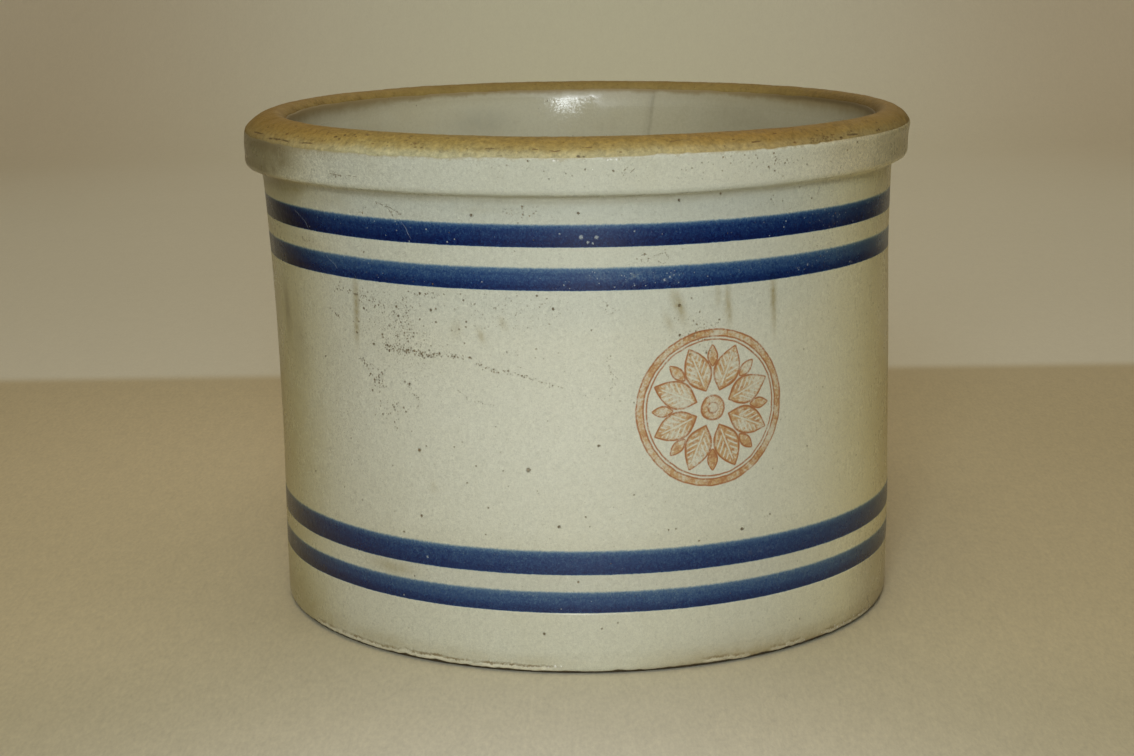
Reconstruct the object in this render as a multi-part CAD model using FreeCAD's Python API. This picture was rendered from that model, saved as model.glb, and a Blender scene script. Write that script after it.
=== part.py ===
import FreeCAD, Part
import math
import os

# Straight-sided stoneware crock with a rolled collar, a bare rounded rim and
# four painted bands. All lengths in millimetres, the Z axis is the axis of
# revolution, and the origin is the middle of the flat base.

# ---- driving dimensions ------------------------------------------------
height = 160.0                  # base to the crown of the rim

foot_flat_radius = 97.8         # flat disc that the crock stands on
foot_round = 2.5                # rounding between the base and the wall
foot_glaze_angle = 35.0         # how far down the rounding the glaze runs, degrees

wall_radius_low = 100.3         # outside, just above the foot
wall_radius_high = 100.95       # outside, just under the groove
wall_top_z = 140.4              # where the groove begins

groove_radius = 2.25            # hollow between the wall and the collar
collar_under_angle = 30.0       # slope of the collar's underside, degrees
collar_under_length = 2.17
collar_under_round = 4.2        # rounding from the underside to the collar's face
collar_corner_radius = 107.6    # widest circle, where the outside glaze ends
collar_corner_z = 154.9

crown_radius_at = 98.4          # radius of the highest circle of the rim
inner_shoulder_round = 5.0      # rounding from the crown to the inside wall
inner_glaze_line_z = 157.4      # where the liner glaze ends

inside_radius_low = 92.0        # inside wall at the start of the floor's corner
inside_corner = 14.0            # rounding between the inside wall and the floor
inside_floor_z = 12.6

outside_glaze = 0.8             # thickness of the outside coat
inside_glaze_t = 0.6            # thickness of the liner
band_depth = 0.4                # thickness of the painted bands, laid in the coat

# lower and upper edge of each band
bands = {
    "upper_band_top": (128.36, 134.93),
    "upper_band_bottom": (115.78, 122.45),
    "lower_band_top": (30.93, 38.23),
    "lower_band_bottom": (19.25, 25.73),
}
# ------------------------------------------------------------------------

origin = FreeCAD.Vector(0, 0, 0)
z_axis = FreeCAD.Vector(0, 0, 1)


def at(p):
    """A point of the profile, (radius, height), in the XZ plane."""
    return FreeCAD.Vector(p[0], 0, p[1])


def polar(centre, r, degrees):
    a = math.radians(degrees)
    return (centre[0] + r * math.cos(a), centre[1] + r * math.sin(a))


class Profile:
    """A closed outline of lines and arcs that is turned about the Z axis."""

    def __init__(self, start):
        self.start = start
        self.last = start
        self.edges = []

    def line(self, p):
        if math.dist(self.last, p) > 1e-7:
            self.edges.append(Part.LineSegment(at(self.last), at(p)).toShape())
            self.last = p
        return self

    def arc(self, centre, r, a0, a1):
        """Arc about centre from angle a0 to a1, in degrees."""
        self.line(polar(centre, r, a0))
        mid = polar(centre, r, (a0 + a1) / 2)
        end = polar(centre, r, a1)
        self.edges.append(Part.Arc(at(self.last), at(mid), at(end)).toShape())
        self.last = end
        return self

    def turned(self):
        self.line(self.start)
        face = Part.Face(Part.Wire(self.edges))
        solid = face.revolve(origin, z_axis, 360)
        if solid.ShapeType != "Solid":
            solid = solid.Solids[0]
        if solid.Volume < 0:
            solid.reverse()
        return solid


def wall_r(z):
    """Outside radius of the glazed wall at a height."""
    share = (z - foot_round) / (wall_top_z - foot_round)
    return wall_radius_low + (wall_radius_high - wall_radius_low) * share


# Foot rounding: the glazed surface and, one coat further in, the clay.
foot_centre = (foot_flat_radius, foot_round)
foot_r = wall_radius_low - foot_flat_radius

# Groove: a hollow arc whose centre is outside the clay.
groove_centre = (wall_radius_high + groove_radius, wall_top_z)
groove_end = 90.0 + collar_under_angle

# Collar underside, then its rounding, then the face up to the corner.
under_start = polar(groove_centre, groove_radius, groove_end)
a = math.radians(collar_under_angle)
under_end = (
    under_start[0] + collar_under_length * math.cos(a),
    under_start[1] + collar_under_length * math.sin(a),
)
round_centre = (
    under_end[0] - collar_under_round * math.sin(a),
    under_end[1] + collar_under_round * math.cos(a),
)
corner = (collar_corner_radius, collar_corner_z)
to_corner = (corner[0] - round_centre[0], corner[1] - round_centre[1])
face_angle = math.degrees(
    math.atan2(to_corner[1], to_corner[0])
    + math.asin(collar_under_round / math.hypot(*to_corner))
)
f = math.radians(face_angle)
corner_in = (
    corner[0] - outside_glaze * math.sin(f),
    corner[1] + outside_glaze * math.cos(f),
)

# Crown: an arc through the corner that is level at the highest circle.
dr = collar_corner_radius - crown_radius_at
dz = height - collar_corner_z
crown_r = (dr * dr + dz * dz) / (2 * dz)
crown_centre = (crown_radius_at, height - crown_r)
crown_start = math.degrees(math.atan2(corner[1] - crown_centre[1], dr))

# Inner shoulder, and where the liner ends on it.
shoulder_centre = (crown_radius_at, height - inner_shoulder_round)
liner_angle = 180.0 - math.degrees(
    math.asin((inner_glaze_line_z - shoulder_centre[1]) / inner_shoulder_round)
)
inside_corner_centre = (inside_radius_low - inside_corner, inside_floor_z + inside_corner)


def up_the_collar(p, coat):
    """From the wall's top, through the groove, to the collar's corner, one coat inside the glazed surface."""
    p.arc(groove_centre, groove_radius + coat, 180.0, groove_end)
    p.arc(
        round_centre,
        collar_under_round - coat,
        collar_under_angle - 90.0,
        face_angle - 90.0,
    )
    p.line(corner if coat == 0 else corner_in)
    return p


def down_the_inside(p, coat):
    """From the liner's edge, over the shoulder, down the wall and along the floor to the axis."""
    p.arc(shoulder_centre, inner_shoulder_round - coat, liner_angle, 180.0)
    p.arc(inside_corner_centre, inside_corner + coat, 0.0, -90.0)
    p.line((0.0, inside_floor_z - coat))
    return p


# ---- the fired clay body -----------------------------------------------
clay = Profile((0.0, 0.0))
clay.line((foot_flat_radius, 0.0))
clay.arc(foot_centre, foot_r, -90.0, -foot_glaze_angle)
clay.arc(foot_centre, foot_r - outside_glaze, -foot_glaze_angle, 0.0)
clay.line((wall_radius_high - outside_glaze, wall_top_z))
up_the_collar(clay, outside_glaze)
clay.line(corner)
clay.arc(crown_centre, crown_r, crown_start, 90.0)
clay.arc(shoulder_centre, inner_shoulder_round, 90.0, liner_angle)
down_the_inside(clay, inside_glaze_t)
clay_body = clay.turned()

# ---- the liner glaze ---------------------------------------------------
liner = Profile(polar(shoulder_centre, inner_shoulder_round, liner_angle))
down_the_inside(liner, 0.0)
liner.line((0.0, inside_floor_z - inside_glaze_t))
liner.line((inside_corner_centre[0], inside_floor_z - inside_glaze_t))
liner.arc(inside_corner_centre, inside_corner + inside_glaze_t, -90.0, 0.0)
liner.arc(
    shoulder_centre, inner_shoulder_round - inside_glaze_t, 180.0, liner_angle
)
inside_glaze = liner.turned()

# ---- the white glaze on the collar -------------------------------------
collar = Profile((wall_radius_high - outside_glaze, wall_top_z))
up_the_collar(collar, outside_glaze)
collar.line(corner)
collar.line(polar(round_centre, collar_under_round, face_angle - 90.0))
collar.arc(
    round_centre, collar_under_round, face_angle - 90.0, collar_under_angle - 90.0
)
collar.arc(groove_centre, groove_radius, groove_end, 180.0)
collar_glaze = collar.turned()

# ---- the cream glaze on the wall, with a channel for each band ---------
wall = Profile((wall_radius_high - outside_glaze, wall_top_z))
wall.line((wall_radius_high, wall_top_z))
for low, high in sorted(bands.values(), reverse=True):
    wall.line((wall_r(high), high))
    wall.line((wall_r(high) - band_depth, high))
    wall.line((wall_r(low) - band_depth, low))
    wall.line((wall_r(low), low))
wall.line((wall_radius_low, foot_round))
wall.arc(foot_centre, foot_r, 0.0, -foot_glaze_angle)
wall.arc(foot_centre, foot_r - outside_glaze, -foot_glaze_angle, 0.0)
wall_glaze = wall.turned()

# ---- the painted bands -------------------------------------------------
nodes = {
    "clay_body": clay_body,
    "inside_glaze": inside_glaze,
    "collar_glaze": collar_glaze,
    "wall_glaze": wall_glaze,
}
for name, (low, high) in bands.items():
    ring = Profile((wall_r(low) - band_depth, low))
    ring.line((wall_r(low), low))
    ring.line((wall_r(high), high))
    ring.line((wall_r(high) - band_depth, high))
    nodes[name] = ring.turned()

os.makedirs("parts", exist_ok=True)
for name, shape in nodes.items():
    if not shape.isValid() or len(shape.Solids) != 1:
        raise SystemExit(name + " is not one valid solid")
    box = shape.BoundBox
    print(
        "%-18s volume %10.1f mm3   z %.2f to %.2f   radius %.2f"
        % (name, shape.Volume, box.ZMin, box.ZMax, box.XMax)
    )
    shape.exportStep(os.path.join("parts", name + ".step"))
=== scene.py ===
import math

import bpy
import numpy as np
from mathutils import Matrix, Vector


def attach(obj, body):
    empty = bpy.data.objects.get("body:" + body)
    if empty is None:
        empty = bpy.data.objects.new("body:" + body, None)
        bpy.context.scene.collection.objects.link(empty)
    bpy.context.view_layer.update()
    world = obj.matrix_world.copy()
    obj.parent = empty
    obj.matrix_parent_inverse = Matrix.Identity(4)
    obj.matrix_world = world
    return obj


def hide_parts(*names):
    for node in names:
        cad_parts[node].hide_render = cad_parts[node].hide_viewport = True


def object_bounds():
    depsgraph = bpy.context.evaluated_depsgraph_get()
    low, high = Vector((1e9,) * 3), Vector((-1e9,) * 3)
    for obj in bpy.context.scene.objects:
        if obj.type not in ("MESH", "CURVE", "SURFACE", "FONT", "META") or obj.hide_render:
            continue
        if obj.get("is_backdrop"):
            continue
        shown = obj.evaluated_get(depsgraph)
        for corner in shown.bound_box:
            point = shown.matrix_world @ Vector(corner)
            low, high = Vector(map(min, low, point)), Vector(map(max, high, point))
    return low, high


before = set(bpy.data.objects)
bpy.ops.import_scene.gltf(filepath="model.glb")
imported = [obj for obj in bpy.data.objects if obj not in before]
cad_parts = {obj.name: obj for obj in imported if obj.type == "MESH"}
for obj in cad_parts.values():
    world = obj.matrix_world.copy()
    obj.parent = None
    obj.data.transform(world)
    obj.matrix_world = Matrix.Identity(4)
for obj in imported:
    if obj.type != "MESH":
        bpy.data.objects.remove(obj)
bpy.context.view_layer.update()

TAU = 2 * math.pi
R0 = 100.65          # wall radius that turns an angle into millimetres along the wall
LEAN = -0.004        # the pot leans a little to the left
AROUND = 900         # columns round the wall

# ------------------------------------------------------------------ numbers
# The same profile as the construction, in millimetres.

BANDS = {
    "upper_band_top": (128.36, 134.93),
    "upper_band_bottom": (115.78, 122.45),
    "lower_band_top": (30.93, 38.23),
    "lower_band_bottom": (19.25, 25.73),
}
WALL_TOP = 140.4
FOOT_TOP = 2.5


def smooth(x, lo, hi):
    t = np.clip((np.asarray(x, float) - lo) / (hi - lo), 0, 1)
    return t * t * (3 - 2 * t)


def arc(c, r, a0, a1, step=0.05):
    n = max(2, int(abs(math.radians(a1 - a0)) * r / step))
    a = np.radians(np.linspace(a0, a1, n + 1))
    return np.stack([c[0] + r * np.cos(a), c[1] + r * np.sin(a)], -1)


def line(p, q, step=0.05):
    n = max(2, int(math.dist(p, q) / step))
    t = np.linspace(0, 1, n + 1)[:, None]
    return np.array(p) * (1 - t) + np.array(q) * t


class Curve:
    """A profile by its length, with smoothed corners and outward normals."""

    def __init__(self, parts, soften=0.35, zero=None, lower=None):
        pts = [parts[0]]
        for p in parts[1:]:
            pts.append(p[1:])
        p = np.concatenate(pts)
        s = np.r_[0, np.cumsum(np.linalg.norm(np.diff(p, axis=0), axis=1))]
        n = int(s[-1] / 0.05)
        t = np.linspace(0, s[-1], n + 1)
        p = np.stack([np.interp(t, s, p[:, 0]), np.interp(t, s, p[:, 1])], 1)
        q = self.softened(p, soften)
        if lower:
            # another smoothing up to a length, then over to the usual one
            keep = smooth(t, lower[1], lower[2])[:, None]
            q = self.softened(p, lower[0]) * (1 - keep) + q * keep
        p = q
        s = np.r_[0, np.cumsum(np.linalg.norm(np.diff(p, axis=0), axis=1))]
        d = np.gradient(p, s, axis=0)
        d /= np.linalg.norm(d, axis=1)[:, None]
        self.s, self.p, self.n = s, p, np.stack([d[:, 1], -d[:, 0]], 1)
        if zero is not None:
            i = np.argmin(np.linalg.norm(p - np.array(zero), axis=1))
            self.s = self.s - self.s[i]

    @staticmethod
    def softened(p, soften):
        w = int(soften * 3 / 0.05)
        k = np.exp(-0.5 * (np.arange(-w, w + 1) * 0.05 / soften) ** 2)
        k /= k.sum()
        q = np.concatenate([2 * p[0] - p[w:0:-1], p, 2 * p[-1] - p[-2:-w - 2:-1]])
        return np.stack([np.convolve(q[:, i], k, "valid") for i in (0, 1)], 1)

    def __call__(self, s):
        return [np.interp(s, self.s, a) for a in (self.p[:, 0], self.p[:, 1], self.n[:, 0], self.n[:, 1])]

    def at(self, point):
        return float(self.s[np.argmin(np.linalg.norm(self.p - np.array(point), axis=1))])


def wall_r(z):
    return 100.3 + (100.95 - 100.3) * (z - FOOT_TOP) / (WALL_TOP - FOOT_TOP)


# from the groove over the collar and the crown to the inside wall
K = (107.6, 154.9)
rim = Curve(
    [
        line((wall_r(134.0), 134.0), (100.95, 140.4)),
        line((100.95, 140.4), (100.994, 142.042)),
        arc((102.094, 142.042), 1.1, 180, 100),
        line((101.903, 143.125), (104.700, 143.616)),
        arc((104.544, 144.502), 0.9, -80, -42),
        arc((102.835, 146.041), 3.2, -42, -10.64),
        line((105.980, 145.450), K),
        arc((98.4, 149.15), 10.85, 32.0, 84),
        arc((99.55, 155.24), 4.76, 90, 171.7),
        arc((183.9, 142.94), 90.0, 171.7, 180.0),
        line((93.9, 142.94), (92.0, 26.6)),
    ],
    soften=0.45,
    zero=(100.95, 140.4),
    lower=(0.24, 14.5, 17.5),
)
S_K = rim.at(K)
S_TOP = float(rim.s[np.argmax(rim.p[:, 1])])
S_G = rim.at((95.347, 157.475))
# from under the foot round to the wall; zero where the wall begins
foot = Curve([line((80.0, 0.0), (97.8, 0.0)), arc((97.8, 2.5), 2.5, -90, 0), line((100.3, 2.5), (wall_r(12.0), 12.0))],
             soften=0.12, zero=(100.3, 2.5))
S_FOOT = foot.at((99.85, 1.07))


# ------------------------------------------------------------------- noise
def wave(phi, z, cell, seed, r=R0):
    """Smooth noise over the angle and the height, without a seam at the back."""
    nu = max(3, int(round(TAU * r / cell)))
    g = np.random.default_rng(seed).random((61, nu)) * 2 - 1
    a = (np.asarray(phi) / TAU) * nu
    b = np.asarray(z) / cell + 23.7
    a, b = np.broadcast_arrays(a, b)
    i, j = np.floor(a).astype(int), np.floor(b).astype(int)
    fa, fb = a - i, b - j
    fa, fb = (f * f * f * (f * (f * 6 - 15) + 10) for f in (fa, fb))
    i0, i1, j0, j1 = i % nu, (i + 1) % nu, j % 61, (j + 1) % 61
    return (g[j0, i0] * (1 - fa) + g[j0, i1] * fa) * (1 - fb) + (g[j1, i0] * (1 - fa) + g[j1, i1] * fa) * fb


def rough(phi, z, cell, seed, octaves=3, gain=0.5, r=R0):
    total, amp = 0, 1.0
    for k in range(octaves):
        total = total + amp * wave(phi, z, cell / 2**k, seed + 101 * k, r)
        amp *= gain
    return total


def blob(phi, z, p, h, wu, wz=None, turn=0.0):
    """A soft spot at angle p (degrees) and height h, with widths in millimetres."""
    u = R0 * ((np.asarray(phi) - math.radians(p) + math.pi) % TAU - math.pi)
    v = np.asarray(z) - h
    c, s = math.cos(turn), math.sin(turn)
    a, b = u * c + v * s, -u * s + v * c
    return np.exp(-((a / wu) ** 2) - (b / (wz or wu)) ** 2)


# ----------------------------------------------------------- shape of the pot
def dents(phi, z):
    """Small bumps and hollows that the hand can feel, in millimetres."""
    d = -0.10 * blob(phi, z, -64, 101, 7, 13)
    d += 0.10 * blob(phi, z, -72, 112, 4, 10)
    d -= 0.07 * blob(phi, z, -26, 92, 14, 5)
    d += 0.06 * blob(phi, z, 52, 60, 16, 12)
    d -= 0.07 * blob(phi, z, 150, 84, 18, 11)
    d += 0.08 * blob(phi, z, -140, 64, 14, 16)
    return d


def skin(phi, z):
    """How far the outside stands from its profile."""
    h = 0.085 * wave(phi, z, 41, 3) + 0.045 * wave(phi, z, 19, 4) + 0.022 * wave(phi, z, 8.3, 5) + 0.009 * wave(phi, z, 3.1, 6)
    # faint rings from the turning tool
    h += 0.016 * wave(phi * 0.25 * 0 + 0.0 * z, z, 5.3, 7) * (0.6 + 0.4 * wave(phi, z, 60, 8))
    h += 0.010 * wave(0 * phi, z, 2.1, 9)
    h += dents(phi, z)
    # a soft crease just above the foot
    h -= 0.10 * np.exp(-((z - 5.2 - 0.4 * wave(phi, 0 * z, 30, 10)) / 0.55) ** 2) * smooth(wave(phi, 0 * z, 55, 11) + 0.9 * np.cos(phi - 0.5), 0.1, 0.8)
    return h


# how far the fired pot stands out beyond its round shape on its left and on its right, against the height
LEFT_Z = np.array([0, 20, 50, 64, 84, 98, 114, 120, 128, 133, 138, 141, 142.6, 144, 145.4, 147.2, 149.3, 151.2, 153.3, 156, 160])
LEFT_D = np.array([-0.1, -0.1, -0.4, -0.3, 0.05, 0.42, 1.05, 1.4, 1.85, 2.15, 2.5, 2.9, 3.4, 3.4, 3.1, 2.7, 2.5, 2.2, 1.65, 0.85, 0.3])
RIGHT_Z = np.array([0, 20, 35, 50, 75, 95, 105, 118, 128, 135, 140, 144, 149, 152, 154.5, 157.5, 160])
RIGHT_D = np.array([0.1, 0.4, 0.5, 0.2, 0.0, -0.27, -0.5, -0.8, -0.6, -0.45, -0.3, -0.1, -0.8, -1.2, -1.15, -0.4, -0.3])
Z_FINE = np.linspace(0, 160, 801)
LEFT_D, RIGHT_D = (np.convolve(np.pad(np.interp(Z_FINE, a, b), 9, "edge"), np.hanning(21)[1:-1] / np.hanning(21).sum(), "valid") for a, b in ((LEFT_Z, LEFT_D), (RIGHT_Z, RIGHT_D)))


def place(r, z, phi):
    """From radius, height and angle to metres, with the pot out of round and its collar's lower corner higher on the right, as fired."""
    r, z, phi = np.broadcast_arrays(np.asarray(r, float), np.asarray(z, float), np.asarray(phi, float))
    k = 1 + 0.0011 * np.cos(2 * (phi - 0.6)) + 0.0005 * np.cos(3 * (phi + 0.4))
    side = np.sin(phi)
    left, right = smooth(-side, 0.1, 1.0), smooth(side, 0.1, 1.0)
    reach = smooth(r, 96.0, 100.3 + 6.7 * smooth(z, 147.0, 154.0))
    out = (np.interp(z, Z_FINE, LEFT_D) * left + np.interp(z, Z_FINE, RIGHT_D) * right) * reach
    sag = (-0.25 * smooth(-side, 0.7, 1.0) + 1.05 * smooth(side, 0.2, 0.85)) * np.exp(-(((z - 144.2) / 2.7) ** 2)) * smooth(r, 98.0, 101.0)
    r = r * k
    x = r * np.sin(phi) + LEAN * z + out * np.sign(side)
    y = -r * np.cos(phi)
    return np.stack([x, y, z + sag], -1) * 0.001


# --------------------------------------------------------------- mesh builder
class Shell:
    """A closed skin made of rings. Each corner keeps its angle, its way along the profile and its height."""

    def __init__(self):
        self.co, self.count, self.faces, self.data, self.size = [], 0, [], [], []

    def ring(self, xyz):
        start = self.count
        self.co.append(xyz)
        self.count += len(xyz)
        return start, len(xyz)

    def band(self, a, b, ta, tb, za, zb, region, shown=True):
        """Faces between ring a and the ring b after it, going round once."""
        (sa, na), (sb, nb) = a, b
        if na == nb:
            j = np.arange(na)
            k = (j + 1) % na
            f = np.stack([sa + j, sa + k, sb + k, sb + j], 1)
            p0, p1 = j / na, (j + 1) / na
            phi = np.stack([p0, p1, p1, p0], 1)
            t = np.stack([self.row(ta, j), self.row(ta, k), self.row(tb, k), self.row(tb, j)], 1)
            z = np.stack([self.row(za, j), self.row(za, k), self.row(zb, k), self.row(zb, j)], 1)
            self.add(f, phi, t, z, region, shown)
        elif na == 2 * nb or nb == 2 * na:
            # three triangles for each pair of columns
            fine, coarse, flip = (a, b, False) if na > nb else (b, a, True)
            tf, tc, zf, zc = (ta, tb, za, zb) if na > nb else (tb, ta, zb, za)
            m = coarse[1]
            j = np.arange(m)
            f0, f1, f2 = fine[0] + 2 * j, fine[0] + 2 * j + 1, fine[0] + (2 * j + 2) % fine[1]
            c0, c1 = coarse[0] + j, coarse[0] + (j + 1) % m
            q0, q1, q2 = j / m, (j + 0.5) / m, (j + 1) / m
            T = lambda v: np.full(m, float(np.mean(v)))
            for tri, ph, ts, zs in (
                ((f0, f1, c0), (q0, q1, q0), (tf, tf, tc), (zf, zf, zc)),
                ((f1, f2, c1), (q1, q2, q2), (tf, tf, tc), (zf, zf, zc)),
                ((f1, c1, c0), (q1, q2, q0), (tf, tc, tc), (zf, zc, zc)),
            ):
                f = np.stack(tri, 1)
                phi = np.stack(ph, 1)
                t, z = np.stack([T(v) for v in ts], 1), np.stack([T(v) for v in zs], 1)
                if flip:
                    f, phi, t, z = (v[:, ::-1] for v in (f, phi, t, z))
                self.add(f, phi, t, z, region, shown)

    def fan(self, a, tip, ta, za, region, shown=True, up=True):
        sa, na = a
        st, _ = self.ring(np.array([tip]))
        j = np.arange(na)
        k = (j + 1) % na
        f = np.stack([sa + j, sa + k, np.full(na, st)], 1)
        phi = np.stack([j / na, (j + 1) / na, (j + 0.5) / na], 1)
        t = np.stack([np.full(na, float(ta))] * 3, 1)
        z = np.stack([np.full(na, float(za))] * 3, 1)
        if not up:
            f, phi, t, z = (v[:, ::-1] for v in (f, phi, t, z))
        self.add(f, phi, t, z, region, shown)

    @staticmethod
    def row(v, j):
        v = np.asarray(v, float)
        return v[j] if v.ndim else np.full(len(j), float(v))

    def add(self, f, phi, t, z, region, shown):
        n, w = f.shape
        self.faces.append(f.astype(np.int32).ravel())
        self.size.append(np.full(n, w, np.int32))
        d = np.zeros((n * w, 5))
        d[:, 0] = (phi.ravel() - 0.5) * TAU
        d[:, 1], d[:, 2] = t.ravel(), z.ravel()
        d[:, 3], d[:, 4] = region, shown
        self.data.append(d)

    def build(self, name):
        co = np.concatenate(self.co)
        loops, sizes, d = np.concatenate(self.faces), np.concatenate(self.size), np.concatenate(self.data)
        first = np.r_[0, np.cumsum(sizes)[:-1]]
        me = bpy.data.meshes.new(name)
        me.vertices.add(len(co))
        me.vertices.foreach_set("co", co.astype(np.float32).ravel())
        me.loops.add(len(loops))
        me.loops.foreach_set("vertex_index", loops)
        me.polygons.add(len(sizes))
        me.polygons.foreach_set("loop_start", first.astype(np.int32))
        me.update(calc_edges=True)
        me.polygons.foreach_set("use_smooth", d[first, 4] > 0.5)
        self.first, self.sizes, self.d, self.loops = first, sizes, d, loops
        self.xyz = co
        ob = bpy.data.objects.new(name, me)
        bpy.context.scene.collection.objects.link(ob)
        return ob


def closed_strip(name, rows, hidden):
    """rows and hidden are lists of (points, t, z); hidden comes back behind the shown side."""
    sh = Shell()
    everything = [(*r, True) for r in rows] + [(*r, False) for r in hidden]
    rings = [sh.ring(r[0]) for r in everything]
    m, n = len(rows), len(everything)
    for i in range(n):
        k = (i + 1) % n
        a, b = everything[i], everything[k]
        shown = i < m - 1
        if shown:
            sh.band(rings[i], rings[k], a[1], b[1], a[2], b[2], 0)
        else:
            # the hidden side is drawn small on the map
            back = 1.2 * (i - m + 1)
            base = float(np.max(everything[m - 1][1])) + 0.8
            sh.band(rings[i], rings[k], base + back, base + back + 1.2, a[2], b[2], 0, False)
    return sh, sh.build(name)


def strip_map(sh, ob, round_mm=TAU * R0, discs=(), pixels=1024):
    """The picture map: the shown skin cut into a few strips, one above the other, and any discs beside them."""
    d, gap = sh.d, 6.0
    region = d[:, 3].astype(int)
    faces_phi = np.add.reduceat(d[:, 0], sh.first) / sh.sizes
    t = d[:, 1]
    strip = region == 0
    t0, t1 = t[strip].min(), t[strip].max()
    h = t1 - t0
    side = sum(w for _, w in discs)
    best = None
    for k in range(1, 60):
        w, tall = round_mm / k, k * (h + gap)
        box = max(w + gap + (side + gap if discs else 0), max(tall, max([x for _, x in discs], default=0)))
        if best is None or box < best[0]:
            best = (box, k)
    box, k = best
    box += gap
    which = np.clip(np.floor((faces_phi / TAU + 0.5) * k), 0, k - 1).astype(int)
    which = np.repeat(which, sh.sizes)
    w = round_mm / k
    u = ((d[:, 0] / TAU + 0.5) * k - which) * w + gap / 2
    v = which * (h + gap) + gap / 2 + (t - t0)
    x0 = w + gap
    for i, (radius_of, size) in enumerate(discs):
        m = region == i + 1
        rr = radius_of(t)
        # one flat picture of a round face; t is the radius there
        u = np.where(m, x0 + size / 2 + rr * np.sin(d[:, 0]), u)
        v = np.where(m, size / 2 + gap / 2 - rr * np.cos(d[:, 0]), v)
        x0 += size
    uv = np.stack([u, v], 1) / box
    layer = ob.data.uv_layers.new(name="OFBake", do_init=False)
    layer.uv.foreach_set("vector", uv.astype(np.float32).ravel())
    return k


# ------------------------------------------------------------ pits and marks
rng = np.random.default_rng(20)
# kind 2 marks are painted glints: near-white spots where the glaze edge catches the light
pits = []     # angle in degrees, height, radius, kind: 0 dark, 0.5 brown, 1 pale chip


def pit(p, z, r, kind=0.0):
    pits.append((p, z, r * 0.68 if kind < 0.75 else r * 0.85, kind))


for p, z, r, kind in (
    (-18.0, 137.3, 0.75, 0), (-0.5, 138.3, 0.6, 0), (16.1, 141.2, 0.65, 0.1), (-4.8, 110.6, 0.62, 0), (-12.6, 97.7, 0.4, 0),
    (-19.9, 99.7, 0.42, 0.1), (-51.3, 89.9, 0.55, 0), (41.0, 93.4, 0.4, 0), (10.4, 86.8, 0.42, 0.2), (18.3, 112.6, 0.4, 0.1),
    (-29.2, 66.2, 0.85, 0.55), (-27.8, 67.7, 0.38, 0), (-22.4, 68.3, 0.4, 0), (-20.9, 70.0, 0.36, 0), (-18.5, 63.1, 0.42, 0.1),
    (-20.2, 57.7, 0.4, 0.2), (-13.7, 62.1, 0.38, 0), (-57.2, 51.6, 0.5, 0.1), (-47.5, 49.9, 0.42, 0.2), (-42.7, 47.3, 0.38, 0.1),
    (-29.2, 46.0, 0.7, 0.35), (-33.0, 40.1, 0.45, 0.1), (-16.5, 50.6, 0.45, 0.2), (-4.4, 45.7, 0.66, 0.1), (0.1, 48.7, 0.45, 0.2),
    (0.8, 45.7, 0.42, 0.1), (-7.2, 12.7, 0.62, 0.1), (-1.3, 28.9, 0.5, 0.3), (-31.0, 26.8, 0.42, 0.1), (2.4, 70.1, 0.6, 0),
    (41.9, 63.3, 0.45, 0), (57.2, 55.3, 0.5, 0.3), (14.1, 43.7, 0.42, 0.1), (15.4, 43.9, 0.42, 0.2), (27.6, 41.5, 0.75, 0.1),
    (19.5, 39.5, 0.45, 0.3), (33.4, 44.6, 0.45, 0.1), (5.3, 16.1, 0.4, 0), (2.6, 14.4, 0.42, 0.1), (40.5, 9.2, 0.4, 0.1),
    (-28.2, 33.5, 0.45, 1), (-0.1, 131.4, 0.75, 1), (1.0, 129.9, 0.5, 1), (2.4, 131.3, 0.7, 1), (1.8, 129.6, 0.4, 1),
    (-9.4, 62.7, 0.8, 0.8), (30.9, 14.3, 0.6, 0.9), (-40.1, 147.2, 0.45, 0.2), (-7.9, 153.9, 0.5, 0.2),
    (17.2, 151.0, 0.34, 0.3), (26.8, 152.9, 0.32, 0.3), (31.9, 151.6, 0.42, 0.3), (33.8, 150.6, 0.42, 0.1), (38.4, 149.6, 0.42, 0.1), (37.4, 151.6, 0.32, 0.3), (30.6, 149.9, 0.52, 0.2),
    (0.7, 151.4, 0.4, 0.1), (23.4, 142.3, 0.5, 0.1), (42.6, 138.4, 0.45, 0.1), (39.6, 141.9, 0.4, 0.2), (13.6, 118.4, 0.5, 1),
    (-26.0, 132.6, 0.35, 1), (-21.0, 130.2, 0.3, 1), (8.6, 132.8, 0.32, 1), (32.0, 133.0, 0.3, 1), (36.2, 131.0, 0.3, 1),
    # painted glints (kind 2): near-white spots on the glaze edge at the front, and on the foot below
    (-4.0, 154.0, 0.5, 2), (-3.4, 154.05, 0.32, 2), (4.1, 154.1, 0.42, 2), (4.5, 154.2, 0.34, 2), (5.4, 154.2, 0.46, 2), (6.0, 154.3, 0.26, 2), (1.8, 151.4, 0.22, 2),
    (16.6, 153.6, 1.3, 1.2), (17.6, 153.4, 0.9, 1.2), (-5.4, 2.7, 0.5, 2), (-6.6, 2.5, 0.4, 2), (-4.4, 2.8, 0.35, 2),
    (22.3, 153.6, 0.46, 0.6), (23.6, 153.8, 0.34, 0.6), (26.0, 153.9, 0.36, 0.6), (28.0, 153.6, 0.34, 0.6), (31.4, 153.8, 0.46, 0.6), (50.6, 154.3, 0.62, 0.0),
    (-7.9, 56.4, 0.34, 0.1), (-35.0, 60.2, 0.34, 0.3), (8.2, 55.0, 0.36, 0.3), (46.0, 80.5, 0.34, 0.1), (50.5, 71.0, 0.36, 0.1),
    (-38.5, 75.0, 0.36, 0.2), (-45.0, 66.0, 0.4, 0.1), (34.0, 58.5, 0.34, 0.4), (-14.8, 75.3, 0.34, 0.1), (-6.0, 77.5, 0.3, 0.2),
):
    pit(p, z, r, kind)


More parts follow.
